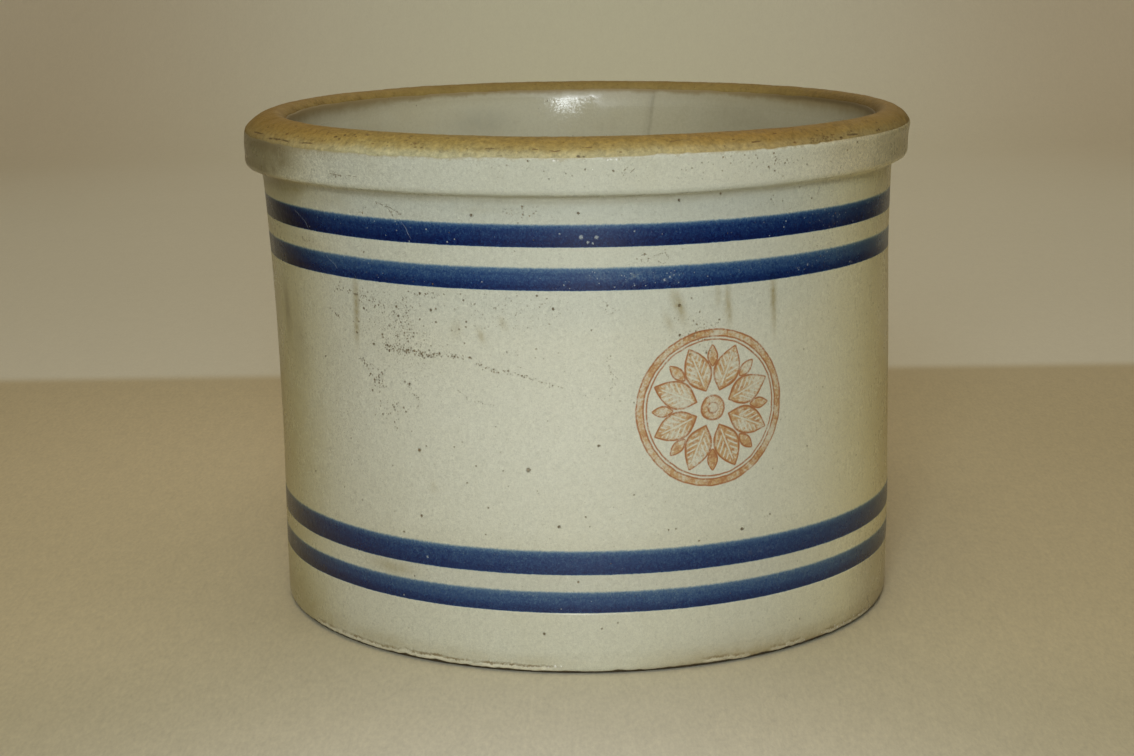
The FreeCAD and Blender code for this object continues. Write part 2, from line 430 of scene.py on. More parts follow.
def trail(points, count, spread, size, kind=0.1, fade=0.0):
    """A row of pits along a path of (angle, height)."""
    q = np.array(points, float)
    flat = q * [R0 * math.pi / 180, 1]
    s = np.r_[0, np.cumsum(np.linalg.norm(np.diff(flat, axis=0), axis=1))]
    at = rng.random(count) * s[-1]
    for a in at:
        if rng.random() < fade * a / s[-1]:
            continue
        p, z = np.interp(a, s, q[:, 0]), np.interp(a, s, q[:, 1])
        pit(p + rng.normal() * spread / R0 * 57.3, z + rng.normal() * spread, size * math.exp(rng.normal() * 0.3), max(0, kind + rng.normal() * 0.12))


def patch(p, z, wu, wz, count, size, kind=0.15):
    for _ in range(count):
        pit(p + rng.normal() * wu / R0 * 57.3, z + rng.normal() * wz, size * math.exp(rng.normal() * 0.35), max(0, kind + rng.normal() * 0.15))


# the long broken line of pits across the front, and the worn patch round its left end
trail([(-35.9, 96.8), (-33, 96.0), (-29.5, 95.9), (-26, 95.4), (-23.8, 95.5)], 120, 0.50, 0.44, 0.22)
trail([(-23.8, 95.5), (-21.4, 95.7), (-18.5, 95.2)], 20, 0.3, 0.36, 0.2)
trail([(-18.0, 94.0), (-15.4, 92.2), (-13.6, 91.6)], 26, 0.32, 0.42, 0.2)
trail([(-13.4, 91.9), (-11.2, 91.3), (-9.3, 90.3)], 22, 0.22, 0.40, 0.2)
trail([(-9.3, 90.3), (-5.3, 88.5), (-3.5, 87.5)], 24, 0.20, 0.30, 0.2)
trail([(-3.5, 87.5), (0.4, 84.9), (3.6, 84.0), (8.7, 82.5)], 22, 0.16, 0.20, 0.1, 0.4)
trail([(-21.5, 85.6), (-20.3, 83.8), (-18.3, 82.4), (-16.9, 82.1)], 18, 0.16, 0.26)
trail([(-16.6, 82.0), (-15.3, 82.0)], 8, 0.08, 0.24)
trail([(-42.4, 92.1), (-40.2, 90.4), (-38.9, 88.5)], 22, 0.35, 0.36)
patch(-37.2, 86.5, 2.0, 2.0, 26, 0.38)
trail([(-39, 90), (-36, 84)], 14, 0.6, 0.34)
trail([(-31.4, 86.5), (-29.6, 83.1), (-28.6, 81.0)], 22, 0.35, 0.34)
patch(-33.8, 77.6, 4.0, 2.4, 44, 0.28)
pit(-31.6, 77.4, 0.5, 0.1)
pit(-34.0, 77.8, 0.42, 0.1)
patch(-34, 106, 8, 4.5, 90, 0.27)
patch(-30, 101, 7.0, 3.0, 90, 0.33)
trail([(-47.5, 112.2), (-41.5, 111.6), (-37, 110), (-33, 106.5), (-31.0, 104)], 60, 0.7, 0.34)
trail([(-31, 112), (-30.4, 107), (-29.8, 101)], 30, 0.4, 0.32)
trail([(-29.0, 113.0), (-26.5, 113.4), (-23.5, 113.2)], 16, 0.35, 0.36)
trail([(-49.3, 106.0), (-48.0, 104.0), (-46.0, 103.0)], 12, 0.25, 0.36)
patch(-14, 111, 12, 3.0, 34, 0.30)
trail([(-18, 103), (-16, 105), (-13, 106), (-10.5, 105)], 14, 0.35, 0.2, 0.4)
patch(-10, 95, 5, 6, 16, 0.26)
patch(4.6, 91.5, 0.7, 4.0, 16, 0.2)
# rings of tiny pits round the fine cracks on the right
for cx, cz, cr, n in ((17.2, 101.4, 1.1, 9), (19.9, 102.4, 1.5, 13), (20.6, 99.0, 1.3, 9), (21.9, 103.4, 0.8, 6), (3.4, 111.7, 1.0, 9), (4.5, 110.0, 1.2, 9), (13.4, 124.8, 1.5, 12), (10.2, 124.9, 1.2, 9)):
    for a in np.arange(n) / n * TAU:
        pit(cx + cr * math.cos(a) / R0 * 57.3 + rng.normal() * 0.08, cz + cr * math.sin(a) + rng.normal() * 0.12, 0.25 * math.exp(rng.normal() * 0.3), 0.2)
patch(19.5, 102, 3.4, 3.6, 30, 0.30)
patch(18.6, 101.2, 1.0, 1.0, 9, 0.40, 0.1)
trail([(23.6, 105.6), (22.4, 104.0), (22.2, 102.2)], 14, 0.18, 0.30)
trail([(4.8, 97.4), (4.0, 95.0), (4.4, 92.4), (5.6, 90.2)], 18, 0.22, 0.28)
# between the upper bands and on the collar
patch(-54.5, 125.3, 3.0, 0.9, 26, 0.24, 0.35)
patch(-40, 125.4, 5.0, 1.2, 8, 0.26, 0.2)
trail([(-32.5, 124.8), (-29.6, 125.4)], 9, 0.3, 0.26, 0.2)
patch(13.5, 126.0, 4.0, 0.8, 14, 0.22, 0.3)
patch(-9.5, 138.4, 3.0, 0.9, 22, 0.24, 0.4)
patch(-12, 137.9, 1.6, 0.5, 6, 0.22, 0.3)
trail([(-35.4, 139.5), (-32.9, 138.0), (-32.5, 136.0)], 24, 0.16, 0.30, 0.2)
trail([(-35.4, 139.5), (-33.5, 138.9), (-30.4, 136.2)], 20, 0.16, 0.28, 0.2)
patch(-39.5, 136.5, 1.2, 0.6, 6, 0.26, 0.2)
patch(34.5, 138.6, 2.2, 1.0, 20, 0.2, 0.2)
patch(46, 126, 5, 3.0, 34, 0.18, 0.2)
patch(17, 148.3, 3.0, 1.6, 10, 0.2, 0.2)
patch(25.2, 150.6, 4.0, 1.6, 20, 0.17, 0.35)
patch(32.0, 150.8, 3.4, 1.8, 34, 0.22, 0.35)
patch(8.0, 150.3, 2.0, 1.6, 10, 0.17, 0.35)
trail([(7.1, 151.9), (6.2, 149.2)], 12, 0.2, 0.22, 0.2)
patch(-41.8, 147.8, 2.0, 0.4, 12, 0.24, 0.2)
patch(-13, 152.1, 5.0, 0.9, 12, 0.18, 0.5)
patch(-1, 151.2, 6.0, 2.0, 16, 0.2, 0.2)
# blue bands: pale pinholes and chips
for b, (lo, hi) in BANDS.items():
    n = 60 if b.startswith("upper") else 26
    for _ in range(n):
        pit(rng.uniform(-180, 180), rng.uniform(lo + 0.4, hi - 0.2), 0.17 * math.exp(rng.normal() * 0.35), 1)
for _ in range(84):
    pit(rng.normal(54, 9), rng.uniform(116.5, 134.5), 0.18 * math.exp(rng.normal() * 0.3), 1)
for _ in range(30):
    pit(rng.normal(8, 5), rng.uniform(116.5, 121.5), 0.18 * math.exp(rng.normal() * 0.3), 1)
for _ in range(24):
    pit(rng.normal(-33, 9), rng.uniform(117.0, 134.0), 0.17 * math.exp(rng.normal() * 0.3), 1)
# thin scatter all the way round
for _ in range(520):
    pit(rng.uniform(-180, 180), rng.uniform(3, 154), 0.2 * math.exp(rng.normal() * 0.3), abs(rng.normal() * 0.25))
for _ in range(60):
    pit(rng.uniform(70, 290), rng.uniform(6, 138), 0.42 * math.exp(rng.normal() * 0.3), abs(rng.normal() * 0.3))
# the sides and the back have worn patches and pit lines of their own
trail([(-128, 92), (-121, 90.5), (-114, 93.0), (-108, 91.5)], 46, 0.5, 0.34)
patch(-118, 96, 9, 5, 50, 0.25)
trail([(104, 72), (110, 69.5), (118, 70.2), (124, 66.8)], 38, 0.4, 0.32)
patch(150, 106, 10, 5, 50, 0.25)
trail([(172, 58), (179, 55), (188, 56.2)], 26, 0.35, 0.3)
patch(-160, 48, 8, 6, 24, 0.28)
patch(88, 110, 7, 4, 30, 0.24)
trail([(-95, 60), (-92, 52), (-93, 45)], 22, 0.35, 0.26)
for p, z in ((46.5, 2.4), (48.2, 1.9), (50.4, 2.8), (51.2, 2.0), (53.4, 2.5), (55.8, 1.9), (57.2, 3.0), (59.3, 2.2), (61.6, 2.7), (62.4, 2.1), (64.6, 2.6), (67.4, 2.0), (41.8, 1.8), (37.4, 1.7)):
    pits.append((p, z, 0.36 + 0.10 * math.sin(p * 7.0), 1.45))
for _ in range(70):
    pits.append((rng.uniform(16, 66), rng.uniform(145.6, 152.8), 0.13 * math.exp(rng.normal() * 0.35), 0.4))
for _ in range(60):
    pits.append((rng.uniform(18, 66), rng.uniform(132.6, 139.6), 0.12 * math.exp(rng.normal() * 0.35), 0.4))
pits = np.array(pits)

# fine lines: points of (angle, height), half width, kind (1 pale scratch, 0.5 brown, 0 dark hairline)
scratches = [
    ([(-58.4, 133.8), (-57.2, 132.9), (-55.4, 131.6), (-54.3, 130.3), (-53.6, 128.6)], 0.12, 1.0),
    ([(-35.0, 139.2), (-33.2, 138.0), (-32.6, 136.4), (-32.2, 135.2), (-30.6, 134.2), (-29.8, 132.6), (-29.5, 131.0), (-28.8, 129.1)], 0.12, 0.95),
    ([(-35.4, 139.5), (-34.2, 138.9), (-33.0, 138.1), (-32.7, 136.9), (-32.5, 136.0)], 0.11, 0.1),
    ([(-33.5, 138.9), (-32.0, 137.6), (-30.4, 136.2)], 0.10, 0.1),
    ([(-48.9, 121.9), (-48.1, 120.6), (-46.8, 119.6), (-46.2, 118.7), (-45.9, 117.9)], 0.12, 1.0),
    ([(-13.4, 43.0), (-12.6, 42.2)], 0.13, 0.9),
    ([(63.0, 7.2), (64.2, 3.8)], 0.25, 0.45),
    ([(-42.7, 147.6), (-40.1, 147.3)], 0.12, 0.3),
    ([(-38.6, 147.6), (-36.6, 147.3)], 0.12, 0.25),
    ([(8.3, 151.6), (7.2, 149.7), (6.8, 147.9)], 0.12, 0.25),
    ([(44.0, 139.2), (45.0, 142.5)], 0.10, 0.3),
    ([(96.0, 118.0), (101.0, 112.0), (103.0, 104.0)], 0.14, 0.8),
    ([(-150.0, 132.0), (-146.0, 126.0), (-144.5, 119.5)], 0.16, 1.0),
    ([(135.0, 36.0), (139.0, 33.0)], 0.15, 1.0),
    ([(168.0, 121.0), (171.0, 118.4)], 0.16, 1.0),
    ([(-100.0, 34.0), (-97.0, 31.5)], 0.14, 1.0),
    ([(70.0, 20.4), (74.0, 23.6)], 0.13, 0.9),
]


# marks on the bare rim: angle, distance from the outer glaze line towards the inside, radius, kind
rim_pits, rim_lines = [], [
    ([(-14.9, 2.9), (-13.9, 3.1), (-13.1, 2.8)], 0.26, 0.30), ([(-7.4, 2.8), (-6.4, 2.7)], 0.20, 0.5), ([(-4.7, 2.3), (-3.8, 2.0), (-2.9, 2.4)], 0.20, 0.45), ([(0.7, 3.5), (1.9, 3.4)], 0.22, 0.4),
    ([(-62.0, 0.5), (-57.0, 0.9), (-53.0, 0.6)], 0.30, 0.1), ([(-51.0, 0.7), (-47.0, 1.3)], 0.26, 0.2), ([(-71.0, 1.0), (-64.0, 1.4)], 0.30, 0.2),
    ([(14.0, 5.0), (16.0, 5.4)], 0.3, 0.4), ([(27.5, 3.0), (29.5, 3.1)], 0.3, 0.3), ([(48.5, 2.2), (51.5, 2.0)], 0.34, 0.1),
    ([(95.0, 6.0), (99.0, 6.8)], 0.34, 0.2), ([(150.0, 8.0), (155.0, 8.5)], 0.4, 0.2), ([(-160.0, 6.0), (-156.0, 7.0)], 0.36, 0.2),
    ([(-120.0, 9.0), (-115.0, 9.6)], 0.4, 0.2), ([(178.0, 10.0), (184.0, 10.4)], 0.36, 0.2),
]
for p, d, r, kind in (
    (-41.5, 5.6, 0.5, 0.1), (-43.2, 4.4, 0.55, 0.2), (-42.0, 3.9, 0.4, 0.3), (-39.6, 6.2, 0.42, 0.1), (-36.8, 6.6, 0.45, 0.1), (-46.0, 6.0, 0.36, 0.2),
    (-2.6, 5.6, 0.24, 0.4), (5.0, 4.0, 0.26, 0.45), (-0.3, 0.30, 0.46, 0.0), (0.5, 0.25, 0.3, 0.1), (46.5, 1.6, 0.5, 0.1), (50.0, 3.4, 0.36, 0.2),
    (24.8, 4.6, 0.4, 0.3), (33.0, 6.0, 0.45, 0.3), (60.0, 5.0, 0.42, 0.1), (68.0, 3.6, 0.4, 0.2), (-66.0, 4.0, 0.45, 0.2), (-74.0, 6.0, 0.4, 0.2),
):
    rim_pits.append((p, d, r, kind))
for _ in range(300):
    rim_pits.append((rng.uniform(-180, 180), rng.uniform(0.3, 14.5), 0.15 * math.exp(rng.normal() * 0.4), 0.2 + abs(rng.normal() * 0.3)))
for _ in range(90):
    rim_pits.append((rng.uniform(-60, -24), rng.uniform(2.2, 7.5), 0.21 * math.exp(rng.normal() * 0.35), 0.15 + abs(rng.normal() * 0.35)))
for _ in range(46):
    rim_pits.append((rng.normal(42.3, 1.5), rng.uniform(0.8, 3.6), 0.22 * math.exp(rng.normal() * 0.3), 0.25 + abs(rng.normal() * 0.3)))
for p0, p1, k in ((40, 62, 26), (90, 130, 26), (-140, -110, 26), (150, 190, 30)):
    for _ in range(k):
        rim_pits.append((rng.uniform(p0, p1), rng.uniform(1.0, 9.0), 0.24 * math.exp(rng.normal() * 0.35), abs(rng.normal() * 0.3)))


def mark_corners(sh, ob, spots, lines, axis=2, shift=0.0):
    """Writes, for each face, where its nearest pit and its nearest line lie, so that the shader can draw them finer than the mesh.
    axis 2 takes marks by their height, axis 1 by their way along the profile."""
    d, first, sizes = sh.d, sh.first, sh.sizes
    way = d[:, axis] - shift
    fu = np.add.reduceat(d[:, 0], first) / sizes * R0
    fz = np.add.reduceat(way, first) / sizes
    seen = (d[first, 4] > 0.5) & (d[first, 3] == 0)
    n = len(first)
    best, who = np.full(n, 2.6), np.full(n, -1)
    order = np.argsort(fz, kind="stable")
    zs = fz[order]
    R = TAU * R0
    spots = np.array(spots, float)
    for i, (p, z, r, kind) in enumerate(spots):
        reach = 2.6 * r + 0.6
        a, b = np.searchsorted(zs, [z - reach, z + reach])
        if a == b:
            continue
        f = order[a:b]
        u = math.radians((p + 180) % 360 - 180) * R0
        du = (fu[f] - u + R / 2) % R - R / 2
        q = np.hypot(du, fz[f] - z)
        m = (q < reach) & seen[f]
        f, q = f[m], np.maximum(q[m] - 0.35, 0) / r
        m = q < best[f]
        best[f[m]], who[f[m]] = q[m], i
    face = np.repeat(np.arange(n), sizes)
    vec = np.tile([9.0, 9.0, 0.0], (len(d), 1))
    has = who[face] >= 0
    pk = spots[who[face[has]]]
    u = np.radians((pk[:, 0] + 180) % 360 - 180) * R0
    du = (d[has, 0] * R0 - u + R / 2) % R - R / 2
    vec[has, 0], vec[has, 1] = du / pk[:, 2], (way[has] - pk[:, 1]) / pk[:, 2]
    at = ob.data.attributes.new("pit", "FLOAT_VECTOR", "CORNER")
    at.data.foreach_set("vector", vec.astype(np.float32).ravel())
    size, kind = np.zeros(len(d)), np.zeros(len(d))
    size[has], kind[has] = pk[:, 2], pk[:, 3]
    at = ob.data.attributes.new("pit_kind", "FLOAT_VECTOR", "CORNER")
    at.data.foreach_set("vector", np.stack([kind, size, 0 * size], 1).astype(np.float32).ravel())
    vec = np.tile([9.0, 0.0, 0.0], (len(d), 1))
    best = np.full(n, 9.0)
    for pts, hw, kind in lines:
        q = np.array(pts, float)
        flat = np.stack([np.radians(q[:, 0]) * R0, q[:, 1]], 1)
        s = np.r_[0, np.cumsum(np.linalg.norm(np.diff(flat, axis=0), axis=1))]
        for k in range(len(flat) - 1):
            A, B = flat[k], flat[k + 1]
            L = np.linalg.norm(B - A)
            t = (B - A) / L
            du = (fu - A[0] + R / 2) % R - R / 2
            dz = fz - A[1]
            al, pe = du * t[0] + dz * t[1], -du * t[1] + dz * t[0]
            out = np.maximum(np.maximum(-al, al - L), 0)
            q1 = np.hypot(pe, out)
            m = seen & (q1 < 1.2) & (q1 < best)
            if not m.any():
                continue
            best[m] = q1[m]
            c = m[face]
            du = (d[c, 0] * R0 - A[0] + R / 2) % R - R / 2
            dz = way[c] - A[1]
            vec[c, 0] = (-du * t[1] + dz * t[0]) / hw
            vec[c, 1] = ((du * t[0] + dz * t[1]) + s[k]) / s[-1] * 2 - 1
            vec[c, 2] = kind
    at = ob.data.attributes.new("scratch", "FLOAT_VECTOR", "CORNER")
    at.data.foreach_set("vector", vec.astype(np.float32).ravel())


def line_corners(sh, ob, a=None, b=None, c=None):
    """How far each corner lies from the edges of the glaze, in millimetres, and how thick the glaze ends there."""
    vec = np.tile([9.0, 9.0, 0.0], (len(sh.d), 1))
    for i, v in enumerate((a, b, c)):
        if v is not None:
            vec[:, i] = v
    at = ob.data.attributes.new("line", "FLOAT_VECTOR", "CORNER")
    at.data.foreach_set("vector", np.clip(vec, -9, 9).astype(np.float32).ravel())


def round_values(sh, grid, values):
    return np.interp(sh.d[:, 0], grid, values, period=TAU)


def stains(phi, z):
    """Soft areas at each point: warm stain, greyish grime with the painted shade of a dent on the left, worn and matt,
    fine pitting.
    """
    warm = 1.15 * blob(phi, z, -41.9, 109, 1.0, 7) + 0.55 * blob(phi, z, -42.2, 99, 0.9, 4.5)
    warm += 1.2 * blob(phi, z, 16.0, 110.5, 1.5, 4.4, 0.35) + 0.60 * blob(phi, z, 14.2, 106, 1.0, 3, 0.35)
    warm += 0.80 * blob(phi, z, 23.0, 113.0, 0.9, 2.6) + 0.90 * blob(phi, z, 24.8, 111.5, 1.0, 4.2) + 0.65 * blob(phi, z, 25.2, 106, 0.8, 3)
    warm += 1.10 * blob(phi, z, 33.9, 111.0, 1.05, 5.4) + 0.5 * blob(phi, z, 34.1, 103, 0.7, 4)
    warm += 0.75 * blob(phi, z, -17.0, 102.1, 0.9, 2.0, 0.4) + 0.40 * blob(phi, z, -21.5, 103.8, 1.6, 2.4) + 0.5 * blob(phi, z, -13.2, 106.0, 0.9, 2.0, 0.5)
    warm += 0.4 * blob(phi, z, -26.6, 54.8, 1.0, 1.2, 0.9) + 0.3 * blob(phi, z, -26.5, 56.5, 0.8, 1.0)
    warm += 0.55 * blob(phi, z, -35.5, 28.2, 8.0, 1.7) + 0.3 * blob(phi, z, -55.5, 125.0, 7, 1.5)
    warm += 0.35 * blob(phi, z, -48, 139.0, 9, 2.2) + 0.22 * blob(phi, z, -16, 138.8, 10, 1.0)
    warm += 0.50 * blob(phi, z, -66, 6.0, 24, 9) + 0.45 * blob(phi, z, -40, 3.8, 34, 3.0) + 0.3 * blob(phi, z, -12, 4.0, 14, 1.6)
    warm += 0.80 * blob(phi, z, -66, 143.0, 9, 2.2) + 0.75 * blob(phi, z, -62, 139.5, 13, 2.0) + 0.4 * blob(phi, z, -56, 140.5, 8, 1.6)
    warm += 0.35 * blob(phi, z, -60, 150.5, 16, 4) + 0.2 * blob(phi, z, 46, 152, 10, 2.5)
    warm += 0.45 * blob(phi, z, -150, 106, 0.8, 8) + 0.4 * blob(phi, z, 128, 112, 0.8, 5) + 0.35 * blob(phi, z, 170, 99, 0.7, 7)
    warm += 0.25 * blob(phi, z, 150, 6, 40, 5) + 0.2 * blob(phi, z, -170, 148, 22, 3)
    # painted shade: the first grey spots, at -67 and -63 degrees, paint the shade of the dent on the left; the rest is
    # grime
    grey_grime_and_dent_shade = 0.6 * blob(phi, z, -67, 101, 2.6, 7.5) + 0.35 * blob(phi, z, -63, 96, 2.5, 5)
    grey_grime_and_dent_shade += 0.35 * blob(phi, z, -35, 98, 12, 7) + 0.18 * blob(phi, z, -20, 93, 16, 4) + 0.15 * blob(phi, z, 18, 102, 8, 6)
    grey_grime_and_dent_shade += 0.25 * blob(phi, z, -47, 87, 9, 8) + 0.25 * blob(phi, z, -118, 94, 14, 6) + 0.22 * blob(phi, z, 150, 106, 14, 6)
    worn = 0.9 * blob(phi, z, 9, 119.6, 7.0, 1.5) + 0.5 * blob(phi, z, 2.5, 119.8, 3.0, 1.3) + 0.5 * blob(phi, z, 15, 118.6, 2.5, 1.4)
    worn += 0.35 * blob(phi, z, 50, 119.5, 8, 2.5) + 0.35 * blob(phi, z, 50, 131.5, 8, 2.5) + 0.3 * blob(phi, z, 13.5, 21.6, 4, 0.9)
    worn += 0.3 * blob(phi, z, 30, 34.0, 9, 1.0) + 0.5 * blob(phi, z, -128, 131, 9, 2) + 0.4 * blob(phi, z, 160, 34, 10, 1.6)
    pitting = 0.8 * blob(phi, z, -34, 104, 13, 9) + 0.5 * blob(phi, z, -30, 92, 14, 6) + 0.4 * blob(phi, z, 20, 102, 8, 6)
    pitting += 0.5 * blob(phi, z, -47, 74, 9, 22) + 0.6 * blob(phi, z, 47, 125, 10, 14) + 0.4 * blob(phi, z, -10, 110, 16, 5)
    pitting += 0.5 * blob(phi, z, -118, 94, 14, 8) + 0.5 * blob(phi, z, 150, 106, 16, 8)
    return np.stack([np.clip(v, 0, 1) for v in np.broadcast_arrays(warm, grey_grime_and_dent_shade, worn, pitting)], -1)


def films(phi, z):
    """More soft areas: rubbed vertical streaks, yellowing with painted warm shade on both sides, soft smudges with the
    painted shade of a dent on the left, and grime with painted shade in the hollows: the groove under the collar and
    the crease above the foot.
    """
    streak = 0.9 * blob(phi, z, -62, 98, 18, 22) + 0.35 * blob(phi, z, -50, 70, 20, 26) + 0.5 * blob(phi, z, -56, 137, 14, 5) + 0.1 * blob(phi, z, 62, 80, 18, 40)
    streak += 0.6 * blob(phi, z, -120, 90, 26, 34) + 0.6 * blob(phi, z, 140, 96, 30, 30) + 0.3
    # painted shade: the two wide spots at -78 and 82 degrees make both sides warmer where the light falls off; the rest
    # is yellowing
    yellowing_and_side_shade = 0.42 * blob(phi, z, -78, 60, 34, 70) + 0.42 * blob(phi, z, 82, 70, 34, 70) + 0.35 * blob(phi, z, -60, 6, 34, 5) + 0.25 * blob(phi, z, 20, 3.5, 60, 2.4)
    yellowing_and_side_shade += 0.30 * blob(phi, z, -38, 29, 16, 2.4) + 0.25 * blob(phi, z, 175, 60, 60, 50) + 0.2 * blob(phi, z, -52, 124.5, 12, 3)
    # painted shade: the first two smudges, at -66.5 and -61 degrees, paint the shade of the dent on the left; the rest
    # is grime
    smudge_and_dent_shade = 0.75 * blob(phi, z, -66.5, 101, 3.0, 9) + 0.30 * blob(phi, z, -61, 92, 5, 9) + 0.45 * blob(phi, z, -68, 145, 10, 6) + 0.55 * blob(phi, z, -78, 149, 17, 8) + 0.30 * blob(phi, z, -60, 137, 10, 2.6)
    smudge_and_dent_shade += 0.75 * blob(phi, z, -71, 149, 19, 8) + 0.30 * blob(phi, z, -58, 151.5, 13, 6) + 0.75 * blob(phi, z, -60.0, 150.0, 10, 5.0) + 0.30 * blob(phi, z, -63, 146.5, 9, 4)
    smudge_and_dent_shade += 0.22 * blob(phi, z, -55, 150, 14, 3) + 0.3 * blob(phi, z, 130, 120, 10, 8) + 0.3 * blob(phi, z, -150, 60, 12, 18)
    # the groove follows the collar, which hangs lower on the left and higher on the right
    zg = z + np.exp(-(((z - 142.4) / 3.0) ** 2)) * (0.25 * smooth(-np.sin(phi), 0.7, 1.0) - 1.05 * smooth(np.sin(phi), 0.2, 0.85))
    # painted shadow: the collar's shadow on the wall below it, darkest just under the groove
    shade = 0.12 * np.exp(-(((zg - 143.0) / 1.1) ** 2)) + 0.42 * np.exp(-(((zg - 141.3) / 1.35) ** 2)) + 0.36 * np.exp(-(((zg - 141.5) / 0.6) ** 2))
    dirt_and_hollow_shade = shade * (0.55 + 0.45 * smooth(wave(phi, 0 * z, 33, 12) + 0.7 * np.cos(phi + 0.9), -0.2, 0.9))
    # painted shade, with some grime, in the crease just above the foot
    dirt_and_hollow_shade = dirt_and_hollow_shade + 0.5 * np.exp(-(((z - 5.0) / 0.9) ** 2)) * smooth(wave(phi, 0 * z, 40, 13) + 0.5 * np.cos(phi - 0.2), -0.1, 0.9)
    return np.stack([np.clip(v, 0, 1) for v in np.broadcast_arrays(streak, yellowing_and_side_shade, smudge_and_dent_shade, dirt_and_hollow_shade)], -1)


def paint(sh, ob, phi, z):
    for name, value in (("stain", stains(phi, z)), ("film", films(phi, z))):
        at = ob.data.attributes.new(name, "FLOAT_COLOR", "POINT")
        at.data.foreach_set("color", value.astype(np.float32).ravel())


# ------------------------------------------------------------------ materials
class Nodes:
    def __init__(self, name):
        self.m = bpy.data.materials.new(name)
        self.m.use_nodes = True
        self.t = self.m.node_tree
        self.t.nodes.clear()
        self.out = self.t.nodes.new("ShaderNodeOutputMaterial")
        self.pbr = self.t.nodes.new("ShaderNodeBsdfPrincipled")
        self.t.links.new(self.pbr.outputs[0], self.out.inputs[0])

    def put(self, socket, v):
        if isinstance(v, S):
            v = v.s
        if isinstance(v, bpy.types.NodeSocket):
            self.t.links.new(v, socket)
        elif isinstance(v, (tuple, list)) and len(v) == 3 and socket.type == "RGBA":
            socket.default_value = (*v, 1)
        else:
            socket.default_value = v

    def set(self, **kw):
        for k, v in kw.items():
            self.put(self.pbr.inputs[k.replace("_", " ")], v)

    def node(self, kind, **props):
        n = self.t.nodes.new(kind)
        for k, v in props.items():
            setattr(n, k, v)
        return n

    def math(self, op, *a, clamp=False):
        n = self.node("ShaderNodeMath", operation=op, use_clamp=clamp)
        for i, v in enumerate(a):
            self.put(n.inputs[i], v)
        return S(self, n.outputs[0])

    def vmath(self, op, *a):
        n = self.node("ShaderNodeVectorMath", operation=op)
        for i, v in enumerate(a):
            self.put(n.inputs["Scale" if op == "SCALE" and i == 1 else i], v)
        return S(self, n.outputs["Value" if op in ("LENGTH", "DOT_PRODUCT", "DISTANCE") else "Vector"])

    def split(self, v):
        n = self.node("ShaderNodeSeparateXYZ")
        self.put(n.inputs[0], v)
        return [S(self, o) for o in n.outputs]

    def join(self, x, y, z):
        n = self.node("ShaderNodeCombineXYZ")
        for i, v in enumerate((x, y, z)):
            self.put(n.inputs[i], v)
        return S(self, n.outputs[0])

    def attr(self, name, what="Vector"):
        n = self.node("ShaderNodeAttribute", attribute_type="GEOMETRY", attribute_name=name)
        return S(self, n.outputs[what])

    def noise(self, v, scale, detail=3.0, rough=0.55, dist=0.0, signed=False):
        n = self.node("ShaderNodeTexNoise", noise_dimensions="3D")
        self.put(n.inputs["Vector"], v)
        n.inputs["Scale"].default_value = scale
        n.inputs["Detail"].default_value = detail
        n.inputs["Roughness"].default_value = rough
        n.inputs["Distortion"].default_value = dist
        s = S(self, n.outputs[0])
        return (s - 0.5) * 2.0 if signed else s

    def cells(self, v, scale, feature="F1", randomness=1.0, out="Distance", flat=False):
        n = self.node("ShaderNodeTexVoronoi", feature=feature, voronoi_dimensions="2D" if flat else "3D")
        self.put(n.inputs["Vector"], v)
        n.inputs["Scale"].default_value = scale
        n.inputs["Randomness"].default_value = randomness
        return S(self, n.outputs[out])

    def step(self, x, lo, hi, a=0.0, b=1.0):
        """Smoothly from a to b as x goes from lo to hi."""
        n = self.node("ShaderNodeMapRange", interpolation_type="SMOOTHSTEP")
        for k, v in (("Value", x), ("From Min", lo), ("From Max", hi), ("To Min", a), ("To Max", b)):
            self.put(n.inputs[k], v)
        return S(self, n.outputs[0])

    def mix(self, f, a, b, blend="MIX"):
        n = self.node("ShaderNodeMix", data_type="RGBA", blend_type=blend, clamp_factor=True)
        self.put(n.inputs[0], f)
        for i, v in ((6, a), (7, b)):
            self.put(n.inputs[i], v)
        return S(self, n.outputs[2])

    def ramp(self, f, *stops, ease="LINEAR"):
        n = self.node("ShaderNodeValToRGB")
        n.color_ramp.interpolation = ease
        e = n.color_ramp.elements
        while len(e) < len(stops):
            e.new(0.5)
        for el, (p, c) in zip(e, stops):
            el.position = p
            el.color = (*c, 1)
        self.put(n.inputs[0], f)
        return S(self, n.outputs[0])

    def mix_value(self, f, a, b):
        n = self.node("ShaderNodeMix", data_type="FLOAT", clamp_factor=True)
        for i, v in ((0, f), (2, a), (3, b)):
            self.put(n.inputs[i], v)
        return S(self, n.outputs[0])

    def paint(self, name):
        """The four channels of a painted attribute."""
        at = self.node("ShaderNodeAttribute", attribute_type="GEOMETRY", attribute_name=name)
        sep = self.node("ShaderNodeSeparateColor")
        self.put(sep.inputs[0], at.outputs["Color"])
        return [S(self, o) for o in sep.outputs[:3]] + [S(self, at.outputs["Alpha"])]

    def spot(self, u, v, u0, v0, wu, wv):
        """A soft round spot in millimetres."""
        a, b = (u - u0) / wu, (v - v0) / wv
        return self.math("EXPONENT", (a * a + b * b) * -1.0)

    def bump(self, height, distance, normal=None, strength=1.0):
        n = self.node("ShaderNodeBump")
        self.put(n.inputs["Height"], height)
        n.inputs["Distance"].default_value = distance
        n.inputs["Strength"].default_value = strength
        if normal is not None:
            self.put(n.inputs["Normal"], normal)
        return S(self, n.outputs[0])


